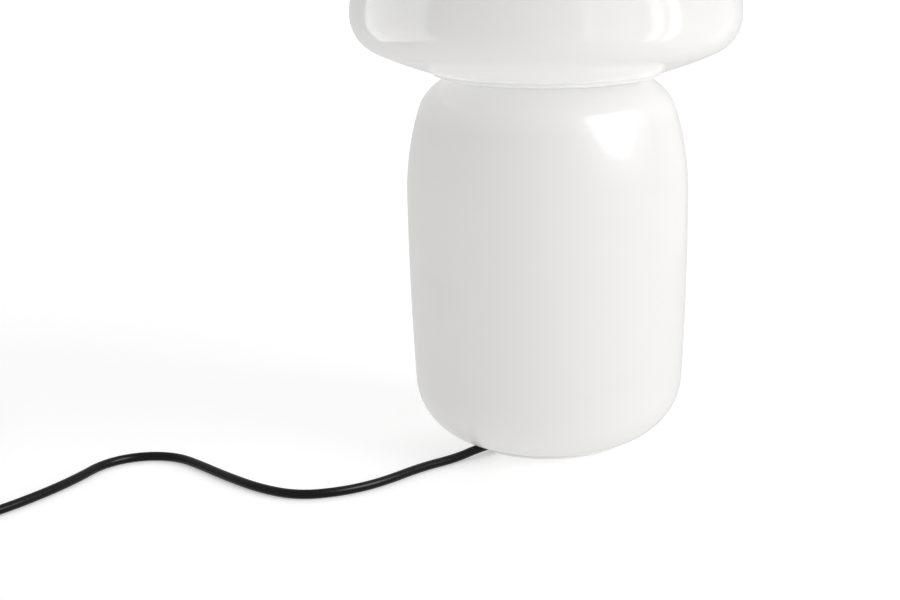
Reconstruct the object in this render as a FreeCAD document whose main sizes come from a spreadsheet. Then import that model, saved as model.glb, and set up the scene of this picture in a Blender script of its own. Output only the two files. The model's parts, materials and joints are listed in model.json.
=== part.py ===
import FreeCAD, Part
import math
import os
import Sketcher

# Mushroom table lamp: a closed opal glass body, an opal glass shade that rests on its
# shoulder, a lamp holder with a bulb on a threaded stem, and a black lead with an
# in-line switch and a flat two-pin plug.
# Frame: millimetres, +Z up, z = 0 is the floor, the lamp's axis is the z axis and the
# photograph is taken from the -Y side.

# Every independent size of the lamp: its name in the sheet, its value, its meaning.
SIZES = [
    ("cord_diameter", 5.5, "round black lead"),
    ("sheet_thickness", 1.2, "steel sheet of the pan and the basket"),
    ("gasket_thickness", 0.8, "clear gaskets on the glass rims"),
    ("foot_pad_inner", 38.5, "inner radius of the foot pad"),
    ("foot_pad_thickness", 1.0, "thickness of the foot pad"),
    ("pan_flange_radius", 50.5, "outer radius of the pan's flange"),
    ("pan_cup_radius", 37.0, "outer radius of the pan's cup"),
    ("pan_height", 34.0, "top of the pan's roof above the floor"),
    ("pan_bend", 3.0, "bend radius of the pan"),
    ("exit_height", 5.0, "height of the lead's middle where it leaves the foot"),
    ("slot_height", 9.5, "top of the lead's slot in the pan"),
    ("notch_width", 7.1, "width of the lead's notch in the glass and of the slots"),
    ("notch_spring", 5.5, "height of the centre of the notch's round top"),
    ("grommet_width", 10.0, "width of the grommet inside the pan"),
    ("grommet_height", 11.0, "top of the grommet"),
    ("grommet_flange", 2.3, "thickness of the grommet inside the pan"),
    ("grommet_nose", 2.5, "length of the grommet outside the pan's wall"),
    ("body_height", 233.7, "flat top of the glass body above the floor"),
    ("belly_radius", 87.9, "largest radius of the glass body"),
    ("belly_height", 159.5, "height of the largest radius"),
    ("side_arc", 2290.0, "arc of the long side below the belly"),
    ("foot_arc", 41.7, "arc of the foot"),
    ("shoulder_arc", 177.0, "arc of the side above the belly"),
    ("neck_arc", 30.3, "arc of the shoulder"),
    ("foot_grind", 1.0, "height ground off the foot"),
    ("foot_opening", 44.0, "radius of the opening in the foot"),
    ("neck_hole", 33.0, "radius of the opening in the top"),
    ("glass_wall", 3.5, "wall of the glass body"),
    ("neck_gasket_inner", 33.5, "inner radius of the gasket on the top"),
    ("neck_gasket_outer", 46.5, "outer radius of the gasket on the top"),
    ("basket_flange", 47.0, "outer radius of the basket's flange"),
    ("basket_radius", 32.2, "outer radius of the basket's wall"),
    ("basket_depth", 35.0, "depth of the basket's floor under its flange"),
    ("basket_bend", 3.0, "bend radius at the basket's floor"),
    ("basket_lip_bend", 0.8, "bend radius under the basket's flange"),
    ("window_width", 14.0, "width of the basket's cooling windows"),
    ("window_height", 12.0, "height of the basket's cooling windows"),
    ("window_rise", 10.0, "bottom of the windows above the basket's floor"),
    ("stem_radius", 5.0, "outer radius of the threaded stem"),
    ("stem_bore", 4.0, "bore radius of the stem"),
    ("stem_end", 7.05, "stem below the roof of the pan"),
    ("stem_entry", 9.0, "stem inside the holder"),
    ("slip", 0.1, "clearance of a bore around its pin"),
    ("nut_across", 14.0, "width across the flats of the stem nuts"),
    ("nut_height", 3.5, "height of the stem nuts"),
    ("washer_radius", 9.0, "outer radius of the stem washers"),
    ("washer_thickness", 0.8, "thickness of the stem washers"),
    ("holder_radius", 19.0, "outer radius of the holder's cap"),
    ("holder_cap_height", 20.0, "height of the holder's cap"),
    ("holder_wall", 2.2, "wall of the holder's cap"),
    ("collar_radius", 8.5, "outer radius of the collar in the cap"),
    ("collar_height", 10.0, "height of the collar and of the brass bush"),
    ("bush_radius", 6.5, "outer radius of the brass bush"),
    ("set_screw_radius", 1.5, "radius of the set screw"),
    ("set_screw_rise", 6.0, "height of the set screw in the cap"),
    ("post_radius", 3.0, "radius of the posts under the cord clamp"),
    ("post_offset", 11.0, "distance of the posts from the axis"),
    ("post_top", 12.2, "top of the posts above the bottom of the cap"),
    ("clamp_length", 28.5, "length of the cord clamp"),
    ("clamp_width", 9.0, "width of the cord clamp"),
    ("clamp_thickness", 2.5, "thickness of the cord clamp"),
    ("clamp_screw_radius", 1.0, "shank radius of the clamp screws"),
    ("clamp_head_radius", 2.0, "head radius of the clamp screws"),
    ("clamp_head_height", 1.5, "head height of the clamp screws"),
    ("clamp_screw_depth", 5.0, "clamp screw below the clamp"),
    ("insulator_flange", 18.8, "radius of the insulator's flange"),
    ("insulator_flange_height", 2.2, "height of the insulator's flange"),
    ("insulator_radius", 16.4, "radius of the insulator"),
    ("insulator_height", 10.7, "height of the insulator"),
    ("terminal_offset", 9.0, "distance of the terminals from the axis"),
    ("terminal_radius", 1.5, "shank radius of the terminal screws"),
    ("terminal_head", 2.6, "head radius of the terminal screws"),
    ("terminal_head_height", 2.0, "head height of the terminal screws"),
    ("terminal_depth", 6.0, "terminal screw inside the insulator"),
    ("contact_thickness", 0.6, "bronze of the centre contact"),
    ("contact_width", 6.0, "width of the centre contact"),
    ("contact_lift", 1.9, "rise of the centre contact's tongue"),
    ("contact_tail", 8.0, "tail of the centre contact from the axis"),
    ("contact_heel", 3.5, "start of the tongue's rise from the axis"),
    ("contact_toe", 1.0, "end of the tongue's rise from the axis"),
    ("contact_tip", 5.0, "tip of the centre contact from the axis"),
    ("shell_radius", 14.0, "outer radius of the screw shell"),
    ("shell_wall", 0.7, "sheet of the screw shell"),
    ("shell_height", 23.5, "height of the screw shell"),
    ("shell_opening", 9.0, "radius of the hole in the shell's floor"),
    ("barrel_radius", 21.3, "outer radius of the holder's barrel"),
    ("barrel_below", 7.8, "barrel below the rim of the cap"),
    ("barrel_above", 36.0, "barrel above the insulator's flange"),
    ("barrel_chamfer", 1.5, "chamfer at the mouth of the barrel"),
    ("fit", 0.05, "clearance between parts that are pressed or glued together"),
    ("bulb_gap", 0.2, "bulb above the centre contact"),
    ("bulb_contact_radius", 4.5, "radius of the bulb's foot contact"),
    ("bulb_contact_height", 1.2, "height of the bulb's foot contact"),
    ("bulb_insulator_height", 3.2, "height of the bulb's glass insulator"),
    ("bulb_insulator_radius", 8.9, "radius of the bulb's glass insulator"),
    ("thread_pitch", 3.63, "pitch of the bulb's screw cap"),
    ("thread_valley", 12.2, "radius at the root of the bulb's thread"),
    ("thread_arc", 2.28, "round of the bulb's thread"),
    ("cap_sheet", 0.4, "sheet of the bulb's screw cap"),
    ("cap_length", 18.5, "length of the bulb's screw cap"),
    ("cap_bevel", 1.2, "bevel at the foot of the bulb's screw cap"),
    ("housing_spigot", 7.5, "bulb housing inside its screw cap"),
    ("housing_wall", 1.5, "wall of the bulb's housing"),
    ("housing_base_radius", 15.0, "radius of the bulb's housing at the cap"),
    ("housing_foot", 4.0, "height of the housing's nearly straight foot"),
    ("housing_flare", 0.4, "widening of the housing along its foot"),
    ("housing_radius", 21.8, "largest radius of the bulb's housing"),
    ("housing_height", 23.5, "bulb housing above its screw cap"),
    ("housing_band", 3.0, "straight band at the top of the housing"),
    ("plate_radius", 19.5, "radius of the light board"),
    ("plate_thickness", 1.5, "thickness of the light board"),
    ("plate_depth", 3.5, "light board's underside below the housing's top"),
    ("led_side", 3.0, "side of a light chip"),
    ("led_height", 0.8, "height of a light chip"),
    ("led_ring", 13.0, "radius of the ring of light chips"),
    ("board_width", 14.0, "width of the driver board"),
    ("board_thickness", 1.6, "thickness of the driver board"),
    ("board_drop", 5.5, "driver board inside the housing's spigot"),
    ("globe_radius", 22.5, "radius of the bulb's globe"),
    ("globe_wall", 1.2, "wall of the bulb's globe"),
    ("globe_sink", 8.0, "globe's centre above the housing"),
    ("shade_radius", 120.1, "largest radius of the shade"),
    ("shade_height", 79.5, "crown of the shade above its widest circle"),
    ("shade_wall", 3.0, "wall of the shade"),
    ("dome_arc", 62.0, "arc of the shade above its widest circle"),
    ("corner_arc", 24.4, "arc of the shade under its widest circle"),
    ("skirt_arc", 234.0, "arc of the shade's underside"),
    ("skirt_angle", 24.6, "slope where the underside meets the corner"),
    ("lip_radius", 64.0, "radius of the shade's opening"),
    ("lip_ring_thickness", 1.7, "clear silicone under the shade's lip"),
    ("lip_ring_top", 1.0, "clear silicone above the shade's lip"),
    ("lip_ring_outer", 70.0, "outer radius of the silicone ring"),
    ("seat_gap", 0.3, "silicone ring above the shoulder"),
    ("switch_length", 62.0, "in-line switch along the lead"),
    ("switch_width", 26.0, "in-line switch across the lead"),
    ("switch_height", 17.7, "in-line switch, height of the housing"),
    ("switch_corner", 9.0, "corner radius of the switch in plan"),
    ("switch_round", 3.0, "rounding of the switch's edges"),
    ("switch_wall", 1.8, "wall of the switch's shells"),
    ("rocker_length", 21.4, "rocker along the lead"),
    ("rocker_width", 11.4, "rocker across the lead"),
    ("rocker_end", 5.2, "rocker's end above its hinge"),
    ("rocker_middle", 3.6, "rocker's middle above its hinge"),
    ("rocker_skirt", 3.0, "upright face at the rocker's ends"),
    ("rocker_taper", 1.5, "rocker's underside shorter than its top, at each end"),
    ("rocker_end_gap", 0.9, "clearance at the rocker's ends when it is level"),
    ("rocker_side_gap", 0.3, "clearance at the rocker's sides"),
    ("hinge_height", 13.4, "rocker's hinge above the floor"),
    ("pin_radius", 1.5, "radius of the rocker's hinge pins"),
    ("pin_reach", 2.0, "rocker's hinge pins beyond its sides"),
    ("pin_slip", 0.15, "clearance around the hinge pins"),
    ("lug_length", 6.0, "hinge lugs along the lead"),
    ("lug_thickness", 2.2, "hinge lugs across the lead"),
    ("lug_drop", 2.6, "hinge lugs below the hinge"),
    ("shell_screw_x", 16.0, "housing screws along the lead"),
    ("shell_screw_y", 8.9, "housing screws across the lead"),
    ("shell_screw_radius", 1.2, "shank radius of the housing screws"),
    ("shell_screw_head", 2.2, "head radius of the housing screws"),
    ("shell_screw_length", 12.0, "length of the housing screws"),
    ("shell_head_height", 1.2, "head height of the housing screws"),
    ("shell_boss", 2.9, "radius of the screw bosses"),
    ("terminal_x", 20.5, "end of the switch's terminals from its middle"),
    ("terminal_length", 8.0, "length of the switch's terminals"),
    ("terminal_width", 8.0, "width of the switch's terminals"),
    ("terminal_sheet", 1.0, "brass of the switch's terminals"),
    ("terminal_height", 10.2, "height of the switch's terminals"),
    ("lead_inside", 8.0, "lead inside the switch's housing"),
    ("relief_length", 22.0, "length of the switch's strain reliefs"),
    ("relief_root", 5.0, "radius of a strain relief at the housing"),
    ("relief_tip", 3.6, "radius of a strain relief at its tip"),
    ("core_radius", 0.6, "radius of one insulated wire"),
    ("core_offset", 1.2, "distance of a wire from the lead's axis"),
    ("plug_width", 35.3, "width of the plug's front"),
    ("plug_height", 13.7, "height of the plug's front"),
    ("plug_corner", 6.5, "rounding of the plug's front"),
    ("plug_length", 33.0, "length of the plug's body"),
    ("plug_rear_width", 11.0, "width of the plug's rear"),
    ("plug_rear_height", 9.0, "height of the plug's rear"),
    ("plug_relief_length", 24.0, "length of the plug's strain relief"),
    ("plug_relief_root", 4.3, "radius of the plug's strain relief at the body"),
    ("plug_relief_tip", 3.5, "radius of the plug's strain relief at its tip"),
    ("pin_spacing", 18.6, "distance between the plug's pins"),
    ("plug_pin_radius", 2.0, "radius of the plug's pins"),
    ("plug_pin_length", 19.0, "length of the plug's pins"),
    ("sleeve_radius", 1.8, "radius of the pins' insulating sleeves"),
    ("sleeve_core", 1.5, "radius of a pin inside its sleeve"),
    ("sleeve_length", 10.0, "length of the pins' insulating sleeves"),
    ("coil_radius", 39.5, "outermost turn of the rest of the lead, to its middle"),
    ("coil_pitch", 6.1, "step from turn to turn and from layer to layer"),
    ("coil_turns", 2.8, "turns of each layer of the rest of the lead"),
    ("inner_run", 45.0, "lead inside the foot, from the axis to where it lies free"),
    ("switch_run", 36.0, "straight lead between the switch and the coil"),
    ("plug_run", 12.0, "each of the three runs of the lead up into the plug"),
    ("chip_count", 8.0, "light chips on their board"),
]

document = FreeCAD.newDocument("mushroom_lamp")
sheet = document.addObject("Spreadsheet::Sheet", "Sizes")
for row, (name, number, meaning) in enumerate(SIZES, start=1):
    sheet.set("A%d" % row, name)
    sheet.set("B%d" % row, str(number))
    sheet.set("C%d" % row, meaning)
    sheet.setAlias("B%d" % row, name)
document.recompute()


class Size:
    """A length or angle: its value now, and the expression that gives it from the sheet."""

    def __init__(self, value, text):
        self.value = float(value)
        self.text = text

    def __add__(self, other):
        other = as_size(other)
        return Size(self.value + other.value, "(%s + %s)" % (self.text, other.text))

    def __sub__(self, other):
        other = as_size(other)
        return Size(self.value - other.value, "(%s - %s)" % (self.text, other.text))

    def __mul__(self, other):
        other = as_size(other)
        return Size(self.value * other.value, "(%s * %s)" % (self.text, other.text))

    def __truediv__(self, other):
        other = as_size(other)
        return Size(self.value / other.value, "(%s / %s)" % (self.text, other.text))

    def __neg__(self):
        return Size(-self.value, "(0 - %s)" % self.text)


def as_size(thing):
    if isinstance(thing, Size):
        return thing
    if thing < 0:
        return Size(thing, "(0 - %s)" % repr(float(-thing)))
    return Size(thing, repr(float(thing)))


def root(square):
    return Size(math.sqrt(square.value), "sqrt(%s)" % square.text)


def sine(angle):
    return Size(math.sin(math.radians(angle.value)), "sin(%s)" % angle.text)


def cosine(angle):
    return Size(math.cos(math.radians(angle.value)), "cos(%s)" % angle.text)


def squared(length):
    return length * length


class Names:
    pass


S = Names()
for name, number, meaning in SIZES:
    setattr(S, name, Size(float(getattr(sheet, name)), "Sizes." + name))
ZERO = as_size(0.0)
EXIT_ANGLE = 225.0


def vector(x, y, z):
    return FreeCAD.Vector(x, y, z)


def bind(thing, prop, size):
    thing.setExpression(prop, as_size(size).text)


def move(thing, x, y, z):
    """Bind the place of a primitive to the sheet."""
    for prop, size in (("x", x), ("y", y), ("z", z)):
        size = as_size(size)
        if size.value or "Sizes" in size.text:
            bind(thing, "Placement.Base." + prop, size)


# Sketches.
def origin_plane(body, role):
    for feature in body.Origin.OriginFeatures:
        if feature.Role == role:
            return feature
    raise ValueError(role)


def place_point(sketch, geometry, end, corner):
    """Hold one end of a line or arc at its corner, with both distances in the sheet."""
    for kind, axis, size in (("DistanceX", -2, corner[0]), ("DistanceY", -1, corner[1])):
        if abs(size.value) < 1e-9:
            sketch.addConstraint(Sketcher.Constraint("PointOnObject", geometry, end, axis))
        elif size.value > 0:
            number = sketch.addConstraint(
                Sketcher.Constraint(kind, -1, 1, geometry, end, size.value))
            sketch.setExpression("Constraints[%d]" % number, size.text)
        else:
            number = sketch.addConstraint(
                Sketcher.Constraint(kind, geometry, end, -1, 1, -size.value))
            sketch.setExpression("Constraints[%d]" % number, (-size).text)


def outline(sketch, corners, arcs=None):
    """A closed outline through the corners. arcs gives the edges that are arcs: the
    number of their first corner, with the radius and the side of the centre (+1 left)."""
    arcs = arcs or {}
    corners = [(as_size(a), as_size(b)) for a, b in corners]
    made = []
    for i, corner in enumerate(corners):
        after = corners[(i + 1) % len(corners)]
        start = vector(corner[0].value, corner[1].value, 0)
        end = vector(after[0].value, after[1].value, 0)
        if i not in arcs:
            made.append((sketch.addGeometry(Part.LineSegment(start, end), False), 1, 2))
            continue
        radius, side = arcs[i]
        chord = end - start
        left = vector(-chord.y, chord.x, 0)
        left.normalize()
        rise = math.sqrt(max(radius.value ** 2 - (chord.Length / 2) ** 2, 0.0))
        centre = (start + end) * 0.5 + left * (rise * side)
        first = math.atan2(start.y - centre.y, start.x - centre.x)
        last = math.atan2(end.y - centre.y, end.x - centre.x)
        circle = Part.Circle(centre, vector(0, 0, 1), radius.value)
        if side > 0:
            made.append((sketch.addGeometry(Part.ArcOfCircle(circle, first, last), False), 1, 2))
        else:
            made.append((sketch.addGeometry(Part.ArcOfCircle(circle, last, first), False), 2, 1))
    for i, (geometry, begin, end) in enumerate(made):
        after = made[(i + 1) % len(made)]
        sketch.addConstraint(Sketcher.Constraint("Coincident", geometry, end, after[0], after[1]))
    for i, (geometry, begin, end) in enumerate(made):
        place_point(sketch, geometry, begin, corners[i])
    for i, (radius, side) in arcs.items():
        number = sketch.addConstraint(
            Sketcher.Constraint("Radius", made[i][0], radius.value))
        sketch.setExpression("Constraints[%d]" % number, radius.text)


def new_body(name):
    return document.addObject("PartDesign::Body", name)


def new_sketch(body, name, role):
    sketch = body.newObject("Sketcher::SketchObject", name)
    sketch.AttachmentSupport = [(origin_plane(body, role), "")]
    sketch.MapMode = "FlatFace"
    return sketch


def turned(name, corners, arcs=None):
    """A body turned about the lamp's axis from an outline of (radius, height) corners."""
    body = new_body(name)
    sketch = new_sketch(body, name + "_outline", "XZ_Plane")
    outline(sketch, corners, arcs)
    turn = body.newObject("PartDesign::Revolution", name + "_turn")
    turn.Profile = sketch
    turn.ReferenceAxis = (sketch, ["V_Axis"])
    turn.Angle = 360
    return body


def padded(name, corners, arcs, depth, role="XZ_Plane", lift=None, both_sides=False):
    """A body padded from an outline on one of its origin planes."""
    body = new_body(name)
    sketch = new_sketch(body, name + "_outline", role)
    if lift is not None:
        bind(sketch, "AttachmentOffset.Base.z", lift)
    outline(sketch, corners, arcs)
    pad = body.newObject("PartDesign::Pad", name + "_pad")
    pad.Profile = sketch
    if both_sides:
        pad.SideType = "Symmetric"
    bind(pad, "Length", depth)
    return body


def box(name, length, width, height, x, y, z):
    thing = document.addObject("Part::Box", name)
    bind(thing, "Length", length)
    bind(thing, "Width", width)
    bind(thing, "Height", height)
    move(thing, x, y, z)
    return thing


UPRIGHT = FreeCAD.Rotation(vector(0, 0, 1), 0)
ALONG_X = FreeCAD.Rotation(vector(0, 1, 0), 90)
ALONG_Y = FreeCAD.Rotation(vector(1, 0, 0), -90)


def cylinder(name, radius, height, x, y, z, way=UPRIGHT):
    thing = document.addObject("Part::Cylinder", name)
    bind(thing, "Radius", radius)
    bind(thing, "Height", height)
    thing.Placement = FreeCAD.Placement(vector(0, 0, 0), way)
    move(thing, x, y, z)
    return thing


def fused(name, things):
    thing = document.addObject("Part::MultiFuse", name)
    thing.Shapes = things
    return thing


def cut(name, base, tools):
    tool = tools[0] if len(tools) == 1 else fused(name + "_tools", tools)
    thing = document.addObject("Part::Cut", name)
    thing.Base = base
    thing.Tool = tool
    return thing


def compound(name, things):
    thing = document.addObject("Part::Compound", name)
    thing.Links = things
    return thing


def toward_exit(thing):
    """Turn a tool that was made along +X to the side where the lead leaves the lamp."""
    turn = FreeCAD.Rotation(vector(0, 0, 1), EXIT_ANGLE)
    thing.Placement = FreeCAD.Placement(vector(0, 0, 0), turn)
    return thing


nodes = {}


def keep(thing, name):
    thing.Label = name
    nodes[name] = thing
    return thing


# Levels that follow from the sizes.
cord_radius = S.cord_diameter / 2
pan_bottom = S.foot_pad_thickness
pan_flange_top = pan_bottom + S.sheet_thickness
rim_level = pan_flange_top + S.gasket_thickness
foot_low = rim_level - S.foot_grind
basket_flange_low = S.body_height + S.gasket_thickness
basket_floor = basket_flange_low - S.basket_depth
cap_low = basket_floor + S.washer_thickness + S.nut_height
cap_top = cap_low + S.holder_cap_height
flange_top = cap_top + S.insulator_flange_height
insulator_top = cap_top + S.insulator_height
stem_hole = S.stem_radius + S.slip


# The foot: pad, pan, gasket and grommet, all open where the lead runs out.
def slotted(name, body, inner, top):
    tool = box(name + "_slot", S.pan_flange_radius + 5.0 - inner, S.notch_width, top + 1.0,
               inner, -(S.notch_width / 2), -1.0)
    holder = document.addObject("Part::Compound", name + "_slot_turned")
    holder.Links = [tool]
    return cut(name, body, [toward_exit(holder)])


pad_ring = turned("foot_pad_ring", [
    (S.foot_pad_inner, ZERO),
    (S.pan_flange_radius, ZERO),
    (S.pan_flange_radius, pan_bottom),
    (S.foot_pad_inner, pan_bottom),
])
keep(slotted("foot_pad", pad_ring, S.foot_pad_inner - 2.0, pan_bottom + 1.0), "foot_pad")

roof_low = S.pan_height - S.sheet_thickness
pan_inner = S.pan_cup_radius - S.sheet_thickness
pan_outer_bend = S.pan_bend + S.sheet_thickness
pan_form = turned("base_pan_form", [
    (S.pan_cup_radius + S.pan_bend, pan_bottom),
    (S.pan_flange_radius, pan_bottom),
    (S.pan_flange_radius, pan_flange_top),
    (S.pan_cup_radius + S.pan_bend, pan_flange_top),
    (S.pan_cup_radius, pan_flange_top + S.pan_bend),
    (S.pan_cup_radius, roof_low - S.pan_bend),
    (pan_inner - S.pan_bend, S.pan_height),
    (stem_hole, S.pan_height),
    (stem_hole, roof_low),
    (pan_inner - S.pan_bend, roof_low),
    (pan_inner, roof_low - S.pan_bend),
    (pan_inner, pan_flange_top + S.pan_bend),
], {
    3: (S.pan_bend, -1),
    5: (pan_outer_bend, 1),
    9: (S.pan_bend, -1),
    11: (pan_outer_bend, 1),
})
keep(slotted("base_pan", pan_form, pan_inner - 3.0, S.slot_height), "base_pan")

gasket_ring = turned("rim_gasket_ring", [
    (S.foot_opening, pan_flange_top),
    (S.pan_flange_radius, pan_flange_top),
    (S.pan_flange_radius, rim_level),
    (S.foot_opening, rim_level),
])
keep(slotted("rim_gasket", gasket_ring, S.foot_opening - 2.0, rim_level + 1.0), "rim_gasket")

bore_radius = cord_radius + S.fit
grommet_low = pan_bottom + S.fit
grommet_face = root(squared(pan_inner) - squared(S.grommet_width / 2)) - S.fit
grommet_inside = box("grommet_inside", S.grommet_flange, S.grommet_width,
                     S.grommet_height - grommet_low,
                     grommet_face - S.grommet_flange, -(S.grommet_width / 2), grommet_low)
grommet_through = box("grommet_through", S.sheet_thickness + S.grommet_nose + 1.0,
                      S.notch_width - S.fit * 2, S.slot_height - S.fit - grommet_low,
                      pan_inner - 1.0, -(S.notch_width / 2 - S.fit), grommet_low)
grommet_bore = cylinder("grommet_bore", bore_radius, S.grommet_flange * 8,
                        pan_inner - S.grommet_flange * 4, ZERO, S.exit_height, ALONG_X)
grommet_block = fused("grommet_block", [grommet_inside, grommet_through])
keep(toward_exit(cut("cord_grommet", grommet_block, [grommet_bore])), "cord_grommet")


# The glass body: four tangent arcs outside, the same arcs less the wall inside.
side_x = S.belly_radius - S.side_arc
shoulder_x = S.belly_radius - S.shoulder_arc
foot_z = foot_low + S.foot_arc
foot_x = side_x + root(squared(S.side_arc - S.foot_arc) - squared(S.belly_height - foot_z))
neck_z = S.body_height - S.neck_arc
neck_x = shoulder_x + root(squared(S.shoulder_arc - S.neck_arc) - squared(neck_z - S.belly_height))


def meeting(far_x, near_x, near_z, far_arc, near_arc, inward):
    """Where a small arc meets the large arc whose centre is at the belly's height."""
    share = (far_arc - inward) / (far_arc - near_arc)
    return (far_x + (near_x - far_x) * share,
            S.belly_height + (near_z - S.belly_height) * share)


rim_outer = foot_x + root(squared(S.foot_arc) - squared(S.foot_arc - S.foot_grind))
foot_inner_arc = S.foot_arc - S.glass_wall
rim_inner_z = foot_z - root(squared(foot_inner_arc) - squared(S.foot_opening - foot_x))
glass_form = turned("glass_body_form", [
    (rim_outer, rim_level),
    meeting(side_x, foot_x, foot_z, S.side_arc, S.foot_arc, ZERO),
    (S.belly_radius, S.belly_height),
    meeting(shoulder_x, neck_x, neck_z, S.shoulder_arc, S.neck_arc, ZERO),
    (neck_x, S.body_height),
    (S.neck_hole, S.body_height),
    (S.neck_hole, S.body_height - S.glass_wall),
    (neck_x, S.body_height - S.glass_wall),
    meeting(shoulder_x, neck_x, neck_z, S.shoulder_arc, S.neck_arc, S.glass_wall),
    (S.belly_radius - S.glass_wall, S.belly_height),
    meeting(side_x, foot_x, foot_z, S.side_arc, S.foot_arc, S.glass_wall),
    (S.foot_opening, rim_inner_z),
    (S.foot_opening, rim_level),
], {
    0: (S.foot_arc, 1),
    1: (S.side_arc, 1),
    2: (S.shoulder_arc, 1),
    3: (S.neck_arc, 1),
    7: (S.neck_arc - S.glass_wall, -1),
    8: (S.shoulder_arc - S.glass_wall, -1),
    9: (S.side_arc - S.glass_wall, -1),
    10: (foot_inner_arc, -1),
})
# The notch in the rim, with a round top, where the lead comes out.
notch_start = S.foot_opening - 5.0
notch_length = rim_outer + 15.0 - notch_start
notch_box = box("notch_box", notch_length, S.notch_width, S.notch_spring + 1.0,
                notch_start, -(S.notch_width / 2), -1.0)
notch_round = cylinder("notch_round", S.notch_width / 2, notch_length,
                       notch_start, ZERO, S.notch_spring, ALONG_X)
notch_tool = toward_exit(fused("notch_tool", [notch_box, notch_round]))
keep(cut("glass_body", glass_form, [notch_tool]), "glass_body")

keep(turned("neck_gasket", [
    (S.neck_gasket_inner, S.body_height),
    (S.neck_gasket_outer, S.body_height),
    (S.neck_gasket_outer, basket_flange_low),
    (S.neck_gasket_inner, basket_flange_low),
]), "neck_gasket")

# The basket that hangs in the top of the glass body, with three cooling windows.
basket_flange_top = basket_flange_low + S.sheet_thickness
basket_inner = S.basket_radius - S.sheet_thickness
basket_low = basket_floor - S.sheet_thickness
basket = turned("neck_basket", [
    (stem_hole, basket_low),
    (S.basket_radius - S.basket_bend, basket_low),
    (S.basket_radius, basket_low + S.basket_bend),
    (S.basket_radius, basket_flange_low - S.basket_lip_bend),
    (S.basket_radius + S.basket_lip_bend, basket_flange_low),
    (S.basket_flange, basket_flange_low),
    (S.basket_flange, basket_flange_top),
    (S.basket_radius + S.basket_lip_bend, basket_flange_top),
    (basket_inner, basket_flange_low - S.basket_lip_bend),
    (basket_inner, basket_low + S.basket_bend),
    (S.basket_radius - S.basket_bend, basket_floor),
    (stem_hole, basket_floor),
], {
    1: (S.basket_bend, 1),
    3: (S.basket_lip_bend, -1),
    7: (S.basket_lip_bend + S.sheet_thickness, 1),
    9: (S.basket_bend - S.sheet_thickness, -1),
})
document.recompute()
basket_before = basket.Shape.Volume
window_sketch = new_sketch(basket, "window_outline", "YZ_Plane")
window_low = basket_floor + S.window_rise
outline(window_sketch, [
    (-(S.window_width / 2), window_low),
    (S.window_width / 2, window_low),
    (S.window_width / 2, window_low + S.window_height),
    (-(S.window_width / 2), window_low + S.window_height),
])
document.recompute()
window = basket.newObject("PartDesign::Pocket", "window")
window.Profile = window_sketch
window.Type = "ThroughAll"
window.Reversed = True
document.recompute()
basket_one_window = basket.Shape.Volume
windows = basket.newObject("PartDesign::PolarPattern", "windows")
windows.Originals = [window]
windows.Axis = (window_sketch, ["V_Axis"])
windows.Angle = 360
windows.Occurrences = 3
basket.Tip = windows
document.recompute()
basket_three_windows = basket.Shape.Volume
print("basket volume without, with one and with three windows: %.0f %.0f %.0f mm3" % (
    basket_before, basket_one_window, basket_three_windows))
removed_one = basket_before - basket_one_window
removed_all = basket_before - basket_three_windows
assert removed_one > 10.0
assert abs(removed_all - 3 * removed_one) < 0.02 * removed_all
keep(basket, "neck_basket")


# The stem with its two nuts and two washers.
def ring(name, inner, outer, low, height):
    outside = cylinder(name + "_outside", outer, height, ZERO, ZERO, low)
    inside = cylinder(name + "_inside", inner, height + 2.0, ZERO, ZERO, low - 1.0)
    return cut(name, outside, [inside])


stem_low = roof_low - S.stem_end
keep(ring("stem_tube", S.stem_bore, S.stem_radius, stem_low,
          cap_low + S.stem_entry - stem_low), "stem_tube")


def nut(name, low):
    blank = document.addObject("Part::Prism", name + "_blank")
    blank.Polygon = 6
    bind(blank, "Circumradius", S.nut_across / root(as_size(3.0)))
    bind(blank, "Height", S.nut_height)
    move(blank, ZERO, ZERO, low)
    bore = cylinder(name + "_bore", S.stem_radius + S.fit, S.nut_height + 2.0,
                    ZERO, ZERO, low - 1.0)
    return cut(name, blank, [bore])


lower_nut = nut("lower_nut", roof_low - S.washer_thickness - S.nut_height)
upper_nut = nut("upper_nut", basket_floor + S.washer_thickness)
keep(compound("stem_nuts", [lower_nut, upper_nut]), "stem_nuts")
lower_washer = ring("lower_washer", stem_hole, S.washer_radius,
                    roof_low - S.washer_thickness, S.washer_thickness)
upper_washer = ring("upper_washer", stem_hole, S.washer_radius,
                    basket_floor, S.washer_thickness)
keep(compound("stem_washers", [lower_washer, upper_washer]), "stem_washers")


# The lamp holder.
collar_bore = S.bush_radius + S.fit
flare = S.holder_radius - S.collar_radius
cap_bell = turned("holder_cap_bell", [
    (collar_bore, cap_low),
    (S.collar_radius, cap_low),
    (S.holder_radius, cap_low + flare),
    (S.holder_radius, cap_top),
    (S.holder_radius - S.holder_wall, cap_top),
    (S.holder_radius - S.holder_wall, cap_low + flare),
    (S.collar_radius, cap_low + S.holder_wall),
    (S.collar_radius, cap_low + S.collar_height),
    (collar_bore, cap_low + S.collar_height),
], {
    1: (flare, 1),
    5: (flare - S.holder_wall, -1),
})
post_low = cap_low + S.holder_wall * 0.82
clamp_low = cap_low + S.post_top
post_left = cylinder("post_left", S.post_radius, clamp_low - post_low,
                     -S.post_offset, ZERO, post_low)
post_right = cylinder("post_right", S.post_radius, clamp_low - post_low,
                      S.post_offset, ZERO, post_low)
clamp_hole = S.clamp_screw_radius + S.fit
hole_low = clamp_low - S.clamp_screw_depth - S.slip
post_hole_left = cylinder("post_hole_left", clamp_hole, S.clamp_screw_depth + 2.0,
                          -S.post_offset, ZERO, hole_low)
post_hole_right = cylinder("post_hole_right", clamp_hole, S.clamp_screw_depth + 2.0,
                           S.post_offset, ZERO, hole_low)
set_screw_level = cap_low + S.set_screw_rise
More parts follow.
